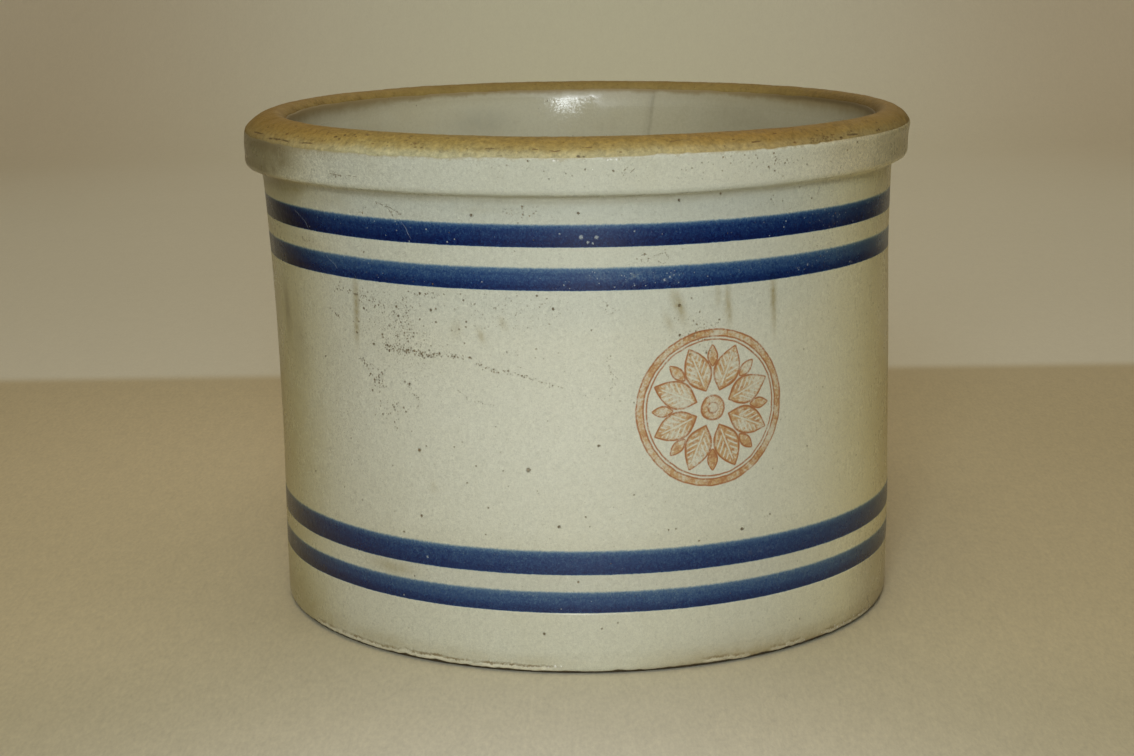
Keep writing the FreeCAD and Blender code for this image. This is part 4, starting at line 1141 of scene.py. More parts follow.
def bare_clay():
    n = Nodes("bare_stoneware_clay")
    mm = n.vmath("SCALE", S(n, n.node("ShaderNodeTexCoord").outputs["Object"]), 1000.0)
    x, y, z = n.split(mm)
    from_glaze, from_liner, _ = n.split(n.attr("line"))
    n_big = n.noise(mm, 0.035, 3, 0.6, signed=True)
    n_mid = n.noise(mm, 0.16, 4, 0.65, signed=True)
    n_soft = n.noise(mm, 0.42, 3, 0.65, signed=True)
    n_fine = n.noise(mm, 1.1, 3, 0.7, signed=True)
    n_grain = n.noise(mm, 2.8, 2, 0.6, signed=True)
    phi = n.math("ARCTAN2", x, y * -1.0)
    # pale and dusty beside the glaze, golden on the crown, brown towards the inside where hands and lids rub
    way = from_glaze + n_mid * 1.2 + n_soft * 0.8
    front = n.step(n.math("COSINE", phi + 0.08), 0.05, 0.95)
    rim_colour = n.ramp(way * 0.1, (0.10, (0.405, 0.350, 0.190)), (0.30, (0.355, 0.282, 0.118)), (0.55, (0.325, 0.234, 0.072)), (0.80, (0.292, 0.204, 0.056)), (1.0, (0.255, 0.174, 0.046)))
    rim_colour = n.mix(n.step(way, 3.0, 0.2) * n.mix_value(front, 0.15, 1.0), rim_colour, CLAY_NEAR_GLAZE)
    side = n.mix(n.step(n.math("COSINE", phi), -0.2, -0.9), (0.250, 0.168, 0.044), (0.222, 0.166, 0.046))
    rim_colour = n.mix((1.0 - front) * 0.70, rim_colour, side)
    rim_colour = n.mix(n.spot(phi * 57.3, 0.0, 40.0, 0.0, 13.0, 1.0) * 0.45, rim_colour, (0.232, 0.146, 0.038))
    rim_colour = n.mix(n.step(from_liner + n_soft * 1.2 + n_mid * 1.0, 5.5, 0.3) * n.step(n.math("COSINE", phi), 0.3, -0.3, 0.3, 0.70), rim_colour, (0.315, 0.250, 0.104))
    rim_colour = n.mix(n.step(n_big + n_mid * 0.6, -0.1, 0.9) * 0.30, rim_colour, (0.250, 0.180, 0.070))
    rim_colour = n.mix(n.step(n_mid * 0.8 + n_soft * 0.7, 0.25, 0.95) * 0.34, rim_colour, (0.185, 0.120, 0.042))
    rim_colour = n.mix(n.step(n_soft * 0.8 - n_mid * 0.6, 0.25, 0.95) * 0.28, rim_colour, (0.400, 0.345, 0.185))
    rim_colour = n.mix(n.step(n_fine + n_soft * 0.4, 0.25, 1.0) * 0.26, rim_colour, (0.180, 0.110, 0.036))
    rim_colour = n.mix(n.step(from_liner + n_soft * 0.8, 2.4, 0.1) * n.step(n_mid + n_soft * 0.6, -0.1, 0.6) * 0.60, rim_colour, (0.185, 0.128, 0.048))
    # mottled dark and orange on the left, and dark towards the inside on the right
    on_left = n.step(phi * -1.0, 0.70, 1.15) * n.step(n.math("ABSOLUTE", phi), 2.9, 2.0)
    on_right = n.step(phi, 0.75, 1.15) * n.step(n.math("ABSOLUTE", phi), 2.6, 1.9)
    rim_colour = n.mix(on_left * n.step(n_soft * 0.7 + n_fine * 0.6 + n_mid * 0.3, -0.15, 0.50) * 0.75, rim_colour, (0.125, 0.092, 0.032))
    rim_colour = n.mix(on_left * n.step(n_grain * -0.8 - n_fine * 0.6, 0.05, 0.50) * 0.60, rim_colour, (0.470, 0.285, 0.075))
    rim_colour = n.mix(on_right * n.step(from_liner + n_mid * 1.8 + n_soft * 1.8 + n_fine * 1.0, 5.4, 0.8) * 0.80, rim_colour, (0.160, 0.110, 0.042))
    rim_colour = n.mix(on_right * n.step(n_fine * 0.7 + n_soft * 0.5, 0.10, 0.70) * 0.40, rim_colour, (0.160, 0.104, 0.034))
    # under the foot the clay is paler and dusty
    base_colour = n.mix(n.step(n_big + n_mid * 0.5, -0.7, 0.7), (0.42, 0.335, 0.200), (0.335, 0.250, 0.135))
    r = n.math("SQRT", x * x + y * y)
    ring = n.noise(n.join(r, 0.0, 0.0), 0.35, 3, 0.6, signed=True)
    base_colour = n.mix(n.step(ring + n_mid * 0.5, 0.0, 0.9) * 0.35, base_colour, (0.25, 0.185, 0.10))
    # painted shade: darker towards the outer edge of the base, and near black on the foot's rounding, a painted contact
    # shadow where the foot meets the table
    base_colour = n.mix(n.step(r + n_mid * 2.0, 90.5, 97.0) * 0.55, base_colour, (0.20, 0.145, 0.075))
    base_colour = n.mix(n.step(r + n_soft * 0.4, 97.0, 98.3) * n.step(n_mid + n_soft, -1.2, 0.4, 0.75, 0.95), base_colour, (0.050, 0.036, 0.020))
    col = n.mix(n.step(z, 8.0, 20.0), base_colour, rim_colour)
    v = n.cells(mm, 0.42)
    pick, rad, _ = n.split(n.cells(mm, 0.42, out="Color"))
    speck = n.step(v + n_fine * 0.04, 0.06 + rad * 0.10, 0.03) * n.step(pick, 0.62, 0.70)
    col = n.mix(speck * 0.55, col, (0.095, 0.056, 0.024))
    col = n.mix(n.step(n_grain, 0.1, 0.8) * 0.30, col, (0.15, 0.10, 0.04))
    n_grit = n.noise(mm, 4.0, 1, 0.5, signed=True)
    n_blot = n.noise(mm, 0.75, 2, 0.55, signed=True)
    gain = 1.0 + (n_grain * 0.17 + n_grit * 0.17 + n_fine * 0.34 + n_blot * 0.42 + n_soft * 0.46) * n.step(n.math("COSINE", phi + 0.35), -0.2, 0.85, 0.50, 1.0)
    gain = gain * n.step(x, -20.0, -95.0, 1.0, 1.12)
    col = n.mix(1.0, n.vmath("SCALE", col, gain), (1.045, 1.000, 0.81), "MULTIPLY")
    # placed marks
    px, py, _ = n.split(n.attr("pit"))
    kind, size, _ = n.split(n.attr("pit_kind"))
    dist = n.vmath("LENGTH", n.join(px * 0.7 + n_fine * 0.5, py - n_grain * 0.4, 0.0)) + n_fine * 0.4
    core = n.step(dist, 1.10, 0.50) * n.step(size, 0.01, 0.05)
    col = n.mix(core * n.step(size, 0.08, 0.5, 0.32, 0.80), col, n.mix(n.step(kind, 0.0, 0.5), (0.085, 0.050, 0.020), (0.190, 0.100, 0.030)))
    sx, sy, sk = n.split(n.attr("scratch"))
    across = n.math("ABSOLUTE", sx + n_fine * 0.9 + n_soft * 0.5)
    cut = n.step(across, 1.3, 0.3) * n.step(n.math("ABSOLUTE", sy), 1.0, 0.7) * n.step(n_soft, -0.5, 0.1)
    col = n.mix(cut * 0.78, col, n.mix(n.step(sk, 0.0, 0.5), (0.065, 0.043, 0.020), (0.165, 0.090, 0.034)))
    col = n.mix(n.step(n.math("ABSOLUTE", phi + 0.48), 0.42, 0.12) * n.step(z, 120.0, 140.0), col, n.mix(1.0, col, (1.05, 1.15, 1.38), "MULTIPLY"))
    col = n.mix(n.step(n.math("ABSOLUTE", phi), 0.28, 0.10) * n.step(z, 120.0, 140.0), col, n.mix(1.0, col, (1.02, 1.06, 1.16), "MULTIPLY"))
    col = n.mix(n.step(n.math("ABSOLUTE", phi - 0.46), 0.28, 0.10) * n.step(z, 120.0, 140.0), col, n.mix(1.0, col, (0.98, 0.93, 0.87), "MULTIPLY"))
    n.set(Base_Color=col)
    n.set(Roughness=n.step(n_mid, -0.8, 0.8, 0.50, 0.72))
    n.pbr.inputs["IOR"].default_value = 1.45
    n.pbr.inputs["Specular IOR Level"].default_value = 0.40
    n.set(Normal=n.bump(n_grain * 0.14 + n_fine * 0.32 + n_soft * 0.30 + n_mid * 0.2 - speck * 0.4 - core * 0.6 - cut * 0.5, 0.00028))
    return n.m


outside, inside, clay = glaze_outside(), glaze_inside(), bare_clay()

# --------------------------------------------------------------------- pieces
phi = (np.arange(AROUND) / AROUND - 0.5) * TAU


def wall_row(z):
    r = wall_r(z) + skin(phi, z + 0 * phi)
    return place(r, z + 0 * phi, phi), z, z + 0 * phi


def finish_piece(sh, ob, material, node, line=None):
    strip_map(sh, ob)
    ob.data.materials.append(material)
    mark_corners(sh, ob, pits, scratches)
    line_corners(sh, ob, *(line if line else (9.0, 0.0)))
    xyz = sh.xyz * 1000
    paint(sh, ob, np.arctan2(xyz[:, 0] - LEAN * xyz[:, 2], -xyz[:, 1]), xyz[:, 2])
    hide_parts(node)
    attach(ob, "root")
    return ob


def wall_piece(name, z0, z1, node, slot, back, step=0.72):
    # a row close to each seam keeps the shading even across it
    at = np.linspace(z0, z1, max(3, int(round((z1 - z0) / step)) + 1))
    rows = [wall_row(z) for z in (z0, z0 + 0.04, *at[1:-1], z1 - 0.04, z1)]
    hidden = []
    for z in (z1, z0):
        hidden.append((place(wall_r(z) - back + 0 * phi, z + 0 * phi, phi), z, z + 0 * phi))
    sh, ob = closed_strip(name, rows, hidden)
    return finish_piece(sh, ob, outside, node)


order = ["lower_band_bottom", "lower_band_top", "upper_band_bottom", "upper_band_top"]
for b in order:
    wall_piece(b + "_paint", *BANDS[b], b, "band_blue", 0.4, 0.55)
wall_piece("wall_glaze_between_lower_bands", BANDS[order[0]][1], BANDS[order[1]][0], "wall_glaze", "wall_glaze", 0.8, 0.6)
wall_piece("wall_glaze_main_field", BANDS[order[1]][1], BANDS[order[2]][0], "wall_glaze", "wall_glaze", 0.8, 0.74)
wall_piece("wall_glaze_between_upper_bands", BANDS[order[2]][1], BANDS[order[3]][0], "wall_glaze", "wall_glaze", 0.8, 0.6)

# the foot of the wall: the glaze ends in a ragged, thickened edge just above the table
bead_at = smooth(-(phi + 0.02) / math.radians(1), 0, 8) * smooth((phi + math.radians(62)) / math.radians(1), 0, 8)
bead_at = np.clip(bead_at + 0.5 * smooth(wave(phi, 0 * phi, 26, 40), 0.1, 0.6) * smooth(np.cos(phi - 0.4), 0.95, 0.2), 0, 1)
bead_at = np.clip(bead_at + 0.8 * smooth(phi / math.radians(1), 14, 20) * smooth(phi / math.radians(1), 70, 62) * smooth(wave(phi, 0 * phi, 11, 45), -0.5, 0.1), 0, 1)
bead_top = 0.30 * wave(phi, 0 * phi, 9, 41) + 0.26 * wave(phi, 0 * phi, 3.4, 43) + 0.22 * wave(phi, 0 * phi, 1.6, 44)
foot_edge = S_FOOT + 0.24 * rough(phi, 0 * phi, 7.0, 31, 3, 0.6) + 0.20 * wave(phi, 0 * phi, 31, 32)
foot_edge = foot_edge + 0.16 * rough(phi, 0 * phi, 2.2, 33, 2, 0.6)
for p, depth, w in ((-33.3, 0.5, 1.3), (-21.2, 0.42, 1.1), (-27.0, 0.3, 0.8), (-45.0, 0.3, 1.1), (5.6, 0.35, 1.5), (9.0, 0.3, 1.0), (38.0, 0.4, 1.0), (120.0, 0.7, 1.8), (-110.0, 0.6, 1.6), (175.0, 0.6, 1.4)):
    foot_edge = foot_edge + depth * blob(phi, 0 * phi, p, 0, w)
foot_edge = np.clip(foot_edge, S_FOOT - 0.55, -0.15)


def foot_row(s, lift=0.0, z_name=None):
    r, z, nr, nz = foot(s)
    h = skin(phi, z)
    h = h + 0.24 * bead_at * smooth(s - foot_edge, 1.75 + bead_top, 1.05 + bead_top) * (0.75 + 0.5 * wave(phi, z, 2.4, 42))
    h = h * smooth(z, 0.0, 0.8) + lift
    return place(r + nr * h, np.maximum(z + nz * h, 0.02), phi), s + 2.5, z + 0 * phi


z_foot_top = BANDS[order[0]][0]
rows = []
# roll the edge off first, then up the rounding and the wall
for f, drop in ((0.0, 0.34), (0.05, 0.20), (0.14, 0.09), (0.30, 0.02)):
    rows.append(foot_row(foot_edge + f, -drop))
for f in np.linspace(0, 1, 10)[1:]:
    rows.append(foot_row((foot_edge + 0.30) * (1 - f) + 2.4 * f))
for z in np.linspace(4.9, z_foot_top, 24)[1:]:
    rows.append(wall_row(z))
hidden = [(place(wall_r(z_foot_top) - 0.8 + 0 * phi, z_foot_top + 0 * phi, phi), 0, 0 * phi),
          (place(wall_r(3.0) - 0.8 + 0 * phi, 3.0 + 0 * phi, phi), 0, 0 * phi)]
r, z, nr, nz = foot(foot_edge + 0.1)
hidden.append((place(r - nr * 0.75, np.maximum(z - nz * 0.75, 0.05), phi), 0, 0 * phi))
sh, ob = closed_strip("wall_glaze_foot", rows, hidden)
finish_piece(sh, ob, outside, "wall_glaze", (sh.d[:, 1] - 2.5 - round_values(sh, phi, foot_edge), round_values(sh, phi, bead_at)))

# the collar glaze, up to the wiped line at the rim
line_noise = 0.13 * rough(phi, 0 * phi, 9.0, 51, 4, 0.65) + 0.22 * wave(phi, 0 * phi, 60, 52) + 0.10 * rough(phi, 0 * phi, 2.6, 53, 2, 0.7)
collar_edge = S_K + 0.15 + line_noise + 0.9 * np.sin(phi)
for p, depth, w in ((-5.0, -0.10, 1.6), (-0.5, -0.42, 15.0), (12.4, 0.35, 3.0), (16.5, 0.2, 1.2), (-22.0, -0.25, 1.5), (26.0, -0.35, 4.0), (31.0, -0.4, 2.0), (-33.0, -0.25, 3.0), (40.0, -0.4, 1.5), (90.0, -0.6, 3.0), (-120.0, 0.6, 3.0), (150.0, -0.6, 2.0)):
    collar_edge = collar_edge + depth * blob(phi, 0 * phi, p, 0, w)


def rim_skin(s, z):
    return skin(phi, z) * 0.8 + 0.05 * wave(phi, s, 11, 61) + 0.03 * wave(phi, s, 4.2, 62) + 0.016 * wave(phi, s, 1.7, 63)


def nicks(s):
    """Small knocks along the outer corner and the crown."""
    d = 0
    for p, at, deep, wide in ((-15.2, 3.0, 0.22, 1.5), (2.0, 5.0, 0.16, 2.0), (43.0, 1.6, 0.30, 1.4), (-47.0, 2.0, 0.2, 1.2), (30.5, 1.0, 0.22, 1.6), (-28.0, 6.5, 0.15, 2.2),
                              (75.0, 3.0, 0.35, 1.8), (-96.0, 5.0, 0.3, 2.2), (133.0, 2.0, 0.35, 2.0), (178.0, 6.0, 0.3, 2.0), (-150.0, 3.0, 0.3, 1.6), (-70.0, 8.0, 0.2, 1.8)):
        d = d + deep * blob(phi, s - S_K - at, p, 0, wide, wide * 0.8)
    return d


def rim_row(s, lift=0.0, knocks=True):
    r, z, nr, nz = rim(s)
    h = rim_skin(s + 0 * phi, z + 0 * phi) - (nicks(s) if knocks else 0) + lift
    # the seam between the wall and the collar is the wall's own row
    k = smooth(s, 0.0, 2.0)
    h = h * k + skin(phi, z + 0 * phi) * (1 - k)
    return place(r + nr * h, z + nz * h, phi), s, z + 0 * phi


# the wall under the collar follows the same curve, so that it runs into the groove without a step
rows = [wall_row(BANDS[order[3]][1]), wall_row(BANDS[order[3]][1] + 0.04)]
s_low = rim.at((wall_r(BANDS[order[3]][1]), BANDS[order[3]][1]))
for s in (*np.linspace(s_low, 0, 11)[1:-1], -0.04, 0.0):
    r, z, nr, nz = rim(s + 0 * phi)
    rows.append((rim_row(s + 0 * phi)[0], float(z[0]), z))
hidden = [(place(99.9 + 0 * phi, z + 0 * phi, phi), 0, 0 * phi) for z in (WALL_TOP - 0.3, BANDS[order[3]][1])]
sh, ob = closed_strip("wall_glaze_under_collar", rows, hidden)
finish_piece(sh, ob, outside, "wall_glaze")

rows = []
for s in (0.0, 0.04, *np.linspace(0.35, 1.3, 4), *np.linspace(1.5, 3.25, 9), *np.linspace(3.7, 5.6, 5), *np.linspace(5.85, 8.55, 13), *np.linspace(9.0, S_K - 2.2, 13)):
    rows.append(rim_row(s + 0 * phi))
last = S_K - 2.2
for f in (0.25, 0.5, 0.75, 1.0):
    rows.append(rim_row(last + np.maximum(collar_edge - 0.62 - last, 0.1) * f))
for back, drop in ((0.46, 0.0), (0.30, 0.008), (0.17, 0.025), (0.08, 0.05), (0.02, 0.09), (0.0, 0.14)):
    rows.append(rim_row(collar_edge - back, -drop))
hidden = []
for r, z in ((106.6, 154.5), (105.5, 150.2), (104.6, 147.2), (103.6, 145.9), (101.4, 145.2), (100.2, 143.6), (100.1, 140.4)):
    hidden.append((place(r + 0 * phi, z + 0 * phi, phi), 0, 0 * phi))
sh, ob = closed_strip("collar_glaze_coat", rows, hidden)
finish_piece(sh, ob, outside, "collar_glaze", (round_values(sh, phi, collar_edge) - sh.d[:, 1], 0.0))

# the liner glaze: inside wall and floor
INSIDE_N = 576
phi_in = (np.arange(INSIDE_N) / INSIDE_N - 0.5) * TAU
inner = Curve(
    [
        arc((99.55, 155.24), 4.76, 100, 171.7),
        arc((183.9, 142.94), 90.0, 171.7, 180.0),
        line((93.9, 142.94), (92.0, 26.6)),
        arc((78.0, 26.6), 14.0, 0, -90),
        line((78.0, 12.6), (0.5, 12.6)),
    ],
    soften=0.4,
)
s_g = inner.at((95.347, 157.475))
liner_edge = s_g + 0.20 * rough(phi_in, 0 * phi_in, 8.0, 71, 4, 0.6, 94) + 0.3 * wave(phi_in, 0 * phi_in, 45, 72, 94)


def inner_skin(p, s):
    h = 0.10 * wave(p, s, 36, 73, 93) + 0.035 * wave(p, s, 15, 74, 93) + 0.008 * wave(p, s, 6, 75, 93)
    deep = smooth(s, 14.0, 30.0)
    return h + (0.035 * wave(0 * p, s, 7.0, 76, 93) + 0.018 * wave(0 * p, s, 2.8, 77, 93)) * (0.12 + 0.88 * deep)


def inner_row(s, lift=0.0, p=None):
    p = phi_in if p is None else p
    s = s + 0 * p
    r, z, nr, nz = inner(s)
    h = inner_skin(p, s) + lift
    return place(r + inner_air * nr * h, z + inner_air * nz * h, p), s


# the air side of the inside wall is towards the axis
inner_air = -1.0 if inner(inner.at((92.0, 60.0)))[2] > 0 else 1.0
sh = Shell()
s_floor = inner.at((78.0, 12.6))
s_end = inner.at((1.5, 12.6))
shown = []
for back, drop in ((-0.02, 0.26), (0.0, 0.18), (0.06, 0.10), (0.17, 0.04), (0.34, 0.0)):
    shown.append(inner_row(liner_edge + back, -drop))
first = s_g + 2.2
for f in (0.34, 0.67):
    shown.append(inner_row((liner_edge + 0.34) * (1 - f) + first * f))
for s in np.linspace(first, s_floor, 128):
    shown.append(inner_row(s))
rings = [sh.ring(a) for a, _ in shown]
for i in range(len(rings) - 1):
    a, b = shown[i], shown[i + 1]
    za, zb = a[0][:, 2] * 1000, b[0][:, 2] * 1000
    sh.band(rings[i], rings[i + 1], a[1], b[1], za, zb, 0)
# floor, in rings that halve towards the middle
last, last_n, s = rings[-1], INSIDE_N, s_floor
r_now = 78.0
while r_now > 2.6:
    n_now = INSIDE_N
    while TAU * r_now / n_now < 0.62 and n_now % 2 == 0 and n_now > 18:
        n_now //= 2
    step = max(1.0, min(1.35, TAU * r_now / n_now))
    r_next = r_now - step
    n_next = INSIDE_N
    while TAU * r_next / n_next < 0.62 and n_next % 2 == 0 and n_next > 18:
        n_next //= 2
    if n_next < last_n // 2:
        n_next = last_n // 2
    p = (np.arange(n_next) / n_next - 0.5) * TAU
    xyz, _ = inner_row(s_floor + (78.0 - r_next), p=p)
    ring_new = sh.ring(xyz)
    sh.band(last, ring_new, r_now, r_next, 12.6, 12.6, 1)
    last, last_n, r_now = ring_new, n_next, r_next
tip = np.array([LEAN * 12.6, 0.0, 12.6 + 0.02]) * 0.001
sh.fan(last, tip, r_now, 12.6, 1)
# hidden back of the liner
def under(sv, n, off=0.6):
    p = (np.arange(n) / n - 0.5) * TAU
    r, z, nr, nz = inner(sv + 0 * p)
    return place(r - inner_air * nr * off, z - inner_air * nz * off, p)
back_s = [s_g + 0.5, s_g + 4.0, s_g + 12.0, *np.linspace(inner.at((92.0, 26.6)), s_floor, 9)]
back = [sh.ring(under(v, INSIDE_N)) for v in back_s]
for i in range(len(back) - 1):
    sh.band(back[i + 1], back[i], back_s[0] - 4.0, back_s[0] - 3.0, 0, 0, 2, False)
sh.band(back[0], rings[0], 0, 0, 0, 0, 2, False)
n_now, prev = INSIDE_N, back[-1]
for r_b in (60.0, 40.0, 24.0, 12.0):
    n_now //= 2
    p = (np.arange(n_now) / n_now - 0.5) * TAU
    ring_new = sh.ring(place(r_b + 0 * p, 12.0 + 0 * p, p))
    sh.band(ring_new, prev, 0, 0, 0, 0, 2, False)
    prev = ring_new
sh.fan(prev, np.array([LEAN * 12.0, 0, 12.0]) * 0.001, 0, 0, 2, False, up=False)
liner_shell = sh
liner_ob = sh.build("inside_glaze_coat")

# the clay: crown and underside are seen, the rest is behind the glaze
sh = Shell()
crown_a, crown_b = S_K - 2.6, S_G + 2.6


def clay_row(s, lift):
    r, z, nr, nz = rim(s + 0 * phi)
    h = rim_skin(s + 0 * phi, z) - nicks(s) + lift
    h = h + 0.05 * rough(phi, s + 0 * phi, 2.6, 81, 2, 0.6) * smooth(lift, -0.10, -0.02)
    return place(r + nr * h, z + nz * h, phi)


liner_edge_900 = S_G + 0.20 * rough(phi, 0 * phi, 8.0, 71, 4, 0.6, 94) + 0.3 * wave(phi, 0 * phi, 45, 72, 94)
crown_rows = []
ss = np.linspace(crown_a, crown_b, 46)
for s in ss:
    # the clay lies a little below the glaze beside it, and comes up to its own curve further in
    near = np.minimum(s - collar_edge, liner_edge_900 - s)
    lift = -0.62 + 0.56 * smooth(near, -0.9, -0.10) + 0.06 * smooth(near, 0.0, 3.0)
    crown_rows.append((clay_row(s, lift), s, rim(s)[1] + 0 * phi))
crown_rings = [sh.ring(a) for a, _, _ in crown_rows]
for i in range(len(crown_rings) - 1):
    a, b = crown_rows[i], crown_rows[i + 1]
    sh.band(crown_rings[i], crown_rings[i + 1], a[1], b[1], a[2], b[2], 0)


def ring_at(r, z, n, noise=0.0):
    p = (np.arange(n) / n - 0.5) * TAU
    return sh.ring(place(r + 0 * p, z + (noise if np.ndim(noise) == 0 else noise), p))


# inside, behind the liner, down to the hidden floor
corner = arc((78.0, 26.6), 14.65, 0, -90)
corner = corner[np.linspace(0, len(corner) - 1, 9).astype(int)]
inside_pts = [(95.2, 148.5, 450), *((r, z, 450) for r, z in corner[:-1]), (78.0, 11.95, 225)]
prev = crown_rings[-1]
for r, z, n in inside_pts:
    ring_new = ring_at(r, z, n)
    sh.band(prev, ring_new, 0, 0, z, z, 3, False)
    prev = ring_new
# 225 is odd, so the last ring closes on one point
sh.fan(prev, np.array([LEAN * 12, 0, 11.95]) * 0.001, 0, 12, 3, False)
# outside, behind the coat, down to the foot
outside_pts = [(105.2, 150.0, 900), (103.0, 146.8, 900), (100.2, 145.4, 900), (99.2, 141.6, 900), (99.0, 139.0, 900), (98.6, 60.0, 900), (98.7, 3.4, 900)]
prev = crown_rings[0]
for r, z, n in outside_pts:
    ring_new = ring_at(r, z, n)
    sh.band(ring_new, prev, 0, 0, z, z, 3, False)
    prev = ring_new


def bottom_row(s, n=AROUND):
    """Under the foot: the clay of the rounding and the flat base."""
    p = (np.arange(n) / n - 0.5) * TAU
    r, z, nr, nz = foot(s + 0 * p)
    e = foot_edge[:: AROUND // n]
    cover = smooth(s - e, -0.25, 0.35)
    lift = -0.26 - 0.30 * cover + 0.05 * rough(p, s + 0 * p, 3.0, 91, 3, 0.6)
    flat = smooth(z, 0.9, 0.05)
    h = lift * (1 - flat) + skin(p, z) * (1 - flat)
    return place(r + nr * h, np.maximum(z + nz * h, 0.0) + 0.0, p)


for s in np.linspace(-0.1, foot.at((97.3, 0.0)), 14):
    xyz = bottom_row(s)
    ring_new = sh.ring(xyz)
    sh.band(ring_new, prev, s, s + 0.3, 0, 0, 0 if s < -0.15 else 3, s < -0.15)
    prev = ring_new


def base_height(r, p):
    """The flat base as wire-cut and sanded: it rests on its outer ring and hollows by a hair inside."""
    ring = smooth(r, 97.6, 94.5)
    h = ring * (0.10 + 0.05 * wave(p, r, 22, 92) + 0.03 * wave(p, r, 9, 93) + 0.03 * wave(0 * p, r, 3.4, 94))
    h = h + ring * smooth(r, 96, 0) * 0.25
    for a, rr, deep, w in ((20, 60, 0.5, 2.2), (-70, 40, 0.4, 1.6), (140, 75, 0.6, 2.6), (-150, 66, 0.4, 2.0), (95, 30, 0.4, 1.8), (-20, 82, 0.4, 1.4)):
        q = p - math.radians(a)
        dist = np.sqrt(r * r + rr * rr - 2 * r * rr * np.cos(q))
        h = h + deep * np.exp(-((dist / w) ** 2)) * ring
    return np.maximum(h, 0)


r_now, n_now = 97.3, AROUND
while r_now > 2.2:
    n_next = n_now
    step = max(0.8, min(1.3, TAU * r_now / n_now))
    r_next = r_now - step
    if TAU * r_next / n_now < 0.55 and n_now % 2 == 0 and n_now > 15:
        n_next = n_now // 2
    p = (np.arange(n_next) / n_next - 0.5) * TAU
    ring_new = sh.ring(place(r_next + 0 * p, base_height(r_next + 0 * p, p), p))
    # seen from below, so the new ring comes first
    sh.band(ring_new, prev, r_next, r_now, 0, 0, 1)
    prev, r_now, n_now = ring_new, r_next, n_next
sh.fan(prev, np.array([0, 0, 0.36]) * 0.001, r_now, 0, 1, True, up=False)
clay_shell = sh
clay_ob = sh.build("stoneware_body")


def simple_map(sh, ob, disc_size, strip_round, hidden_size=30.0):
    """Strips for region 0, one disc for region 1 and a small patch for what is hidden."""
    d, gap = sh.d, 5.0
    region = d[:, 3].astype(int)
    fphi = np.repeat(np.add.reduceat(d[:, 0], sh.first) / sh.sizes, sh.sizes)
    t = d[:, 1]
    m0, m1, m2 = region == 0, region == 1, region > 1
    t0, t1 = t[m0].min(), t[m0].max()
    h = t1 - t0
    best = None
    for k in range(1, 80):
        w, tall = strip_round / k, k * (h + gap)
        # the disc goes above the strips or beside them
        for beside in (True, False):
            bw, bh = (w + gap + disc_size + gap, max(tall, disc_size + hidden_size + 2 * gap)) if beside else (max(w + gap, disc_size + hidden_size + gap), tall + disc_size + gap)
            if best is None or max(bw, bh) < best[0]:
                best = (max(bw, bh), k, beside)
    box, k, beside = best
    box += gap
    which = np.clip(np.floor((fphi / TAU + 0.5) * k), 0, k - 1)
    w = strip_round / k
    u = ((d[:, 0] / TAU + 0.5) * k - which) * w + gap / 2
    v = which * (h + gap) + gap / 2 + (t - t0)
    ox, oy = (w + gap, gap / 2) if beside else (gap / 2, k * (h + gap) + gap / 2)
    u = np.where(m1, ox + disc_size / 2 + t * np.sin(d[:, 0]) , u)
    v = np.where(m1, oy + disc_size / 2 - t * np.cos(d[:, 0]), v)
    # the tips of the fans
    hx, hy = (ox, oy + disc_size + gap) if beside else (ox + disc_size + gap, oy)
    order_h = np.cumsum(m2[sh.first])
    idx = np.repeat(order_h, sh.sizes)
    total = max(1, order_h[-1])
    side = int(math.ceil(math.sqrt(total)))
    cell = (hidden_size - 1) / side
    local = np.arange(len(d)) - np.repeat(sh.first, sh.sizes)
    corner_u, corner_v = np.array([0, 1, 1, 0])[local], np.array([0, 0, 1, 1])[local]
    u = np.where(m2, hx + (idx % side + 0.1 + 0.8 * corner_u) * cell, u)
    v = np.where(m2, hy + (idx // side + 0.1 + 0.8 * corner_v) * cell, v)
    uv = np.stack([u, v], 1) / box
    return uv


for sh_, ob_, size, around, mat, node, slot in (
    (liner_shell, liner_ob, 2 * 78.0 + 2, TAU * 93.0, inside, "inside_glaze", "liner_glaze"),
    (clay_shell, clay_ob, 2 * 97.5 + 2, TAU * 102.0, clay, "clay_body", "stoneware_clay"),
):
    uv = simple_map(sh_, ob_, size, around)
    # put the tip of a shown fan at the centre of the disc
    d = sh_.d
    xyz = sh_.xyz[sh_.loops]
    near_axis = np.hypot(xyz[:, 0] - LEAN * xyz[:, 2], xyz[:, 1]) < 1e-6
    m = near_axis & (d[:, 3] == 1)
    if m.any():
        centre = uv[(d[:, 3] == 1)]
        c = (centre.min(0) + centre.max(0)) / 2
        uv[m] = c
    layer = ob_.data.uv_layers.new(name="OFBake", do_init=False)
    layer.uv.foreach_set("vector", uv.astype(np.float32).ravel())
    if node == "inside_glaze":
        line_corners(sh_, ob_, np.where(d[:, 3] == 0, d[:, 1] - round_values(sh_, phi_in, liner_edge), 9.0))
    else:
        crown = (d[:, 3] == 0) & (d[:, 1] > 5)
        mark_corners(sh_, ob_, rim_pits, rim_lines, 1, S_K)
        line_corners(sh_, ob_, np.where(crown, d[:, 1] - round_values(sh_, phi, collar_edge), 9.0), np.where(crown, round_values(sh_, phi, liner_edge_900) - d[:, 1], 9.0))
    ob_.data.materials.append(mat)
    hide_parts(node)
    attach(ob_, "root")

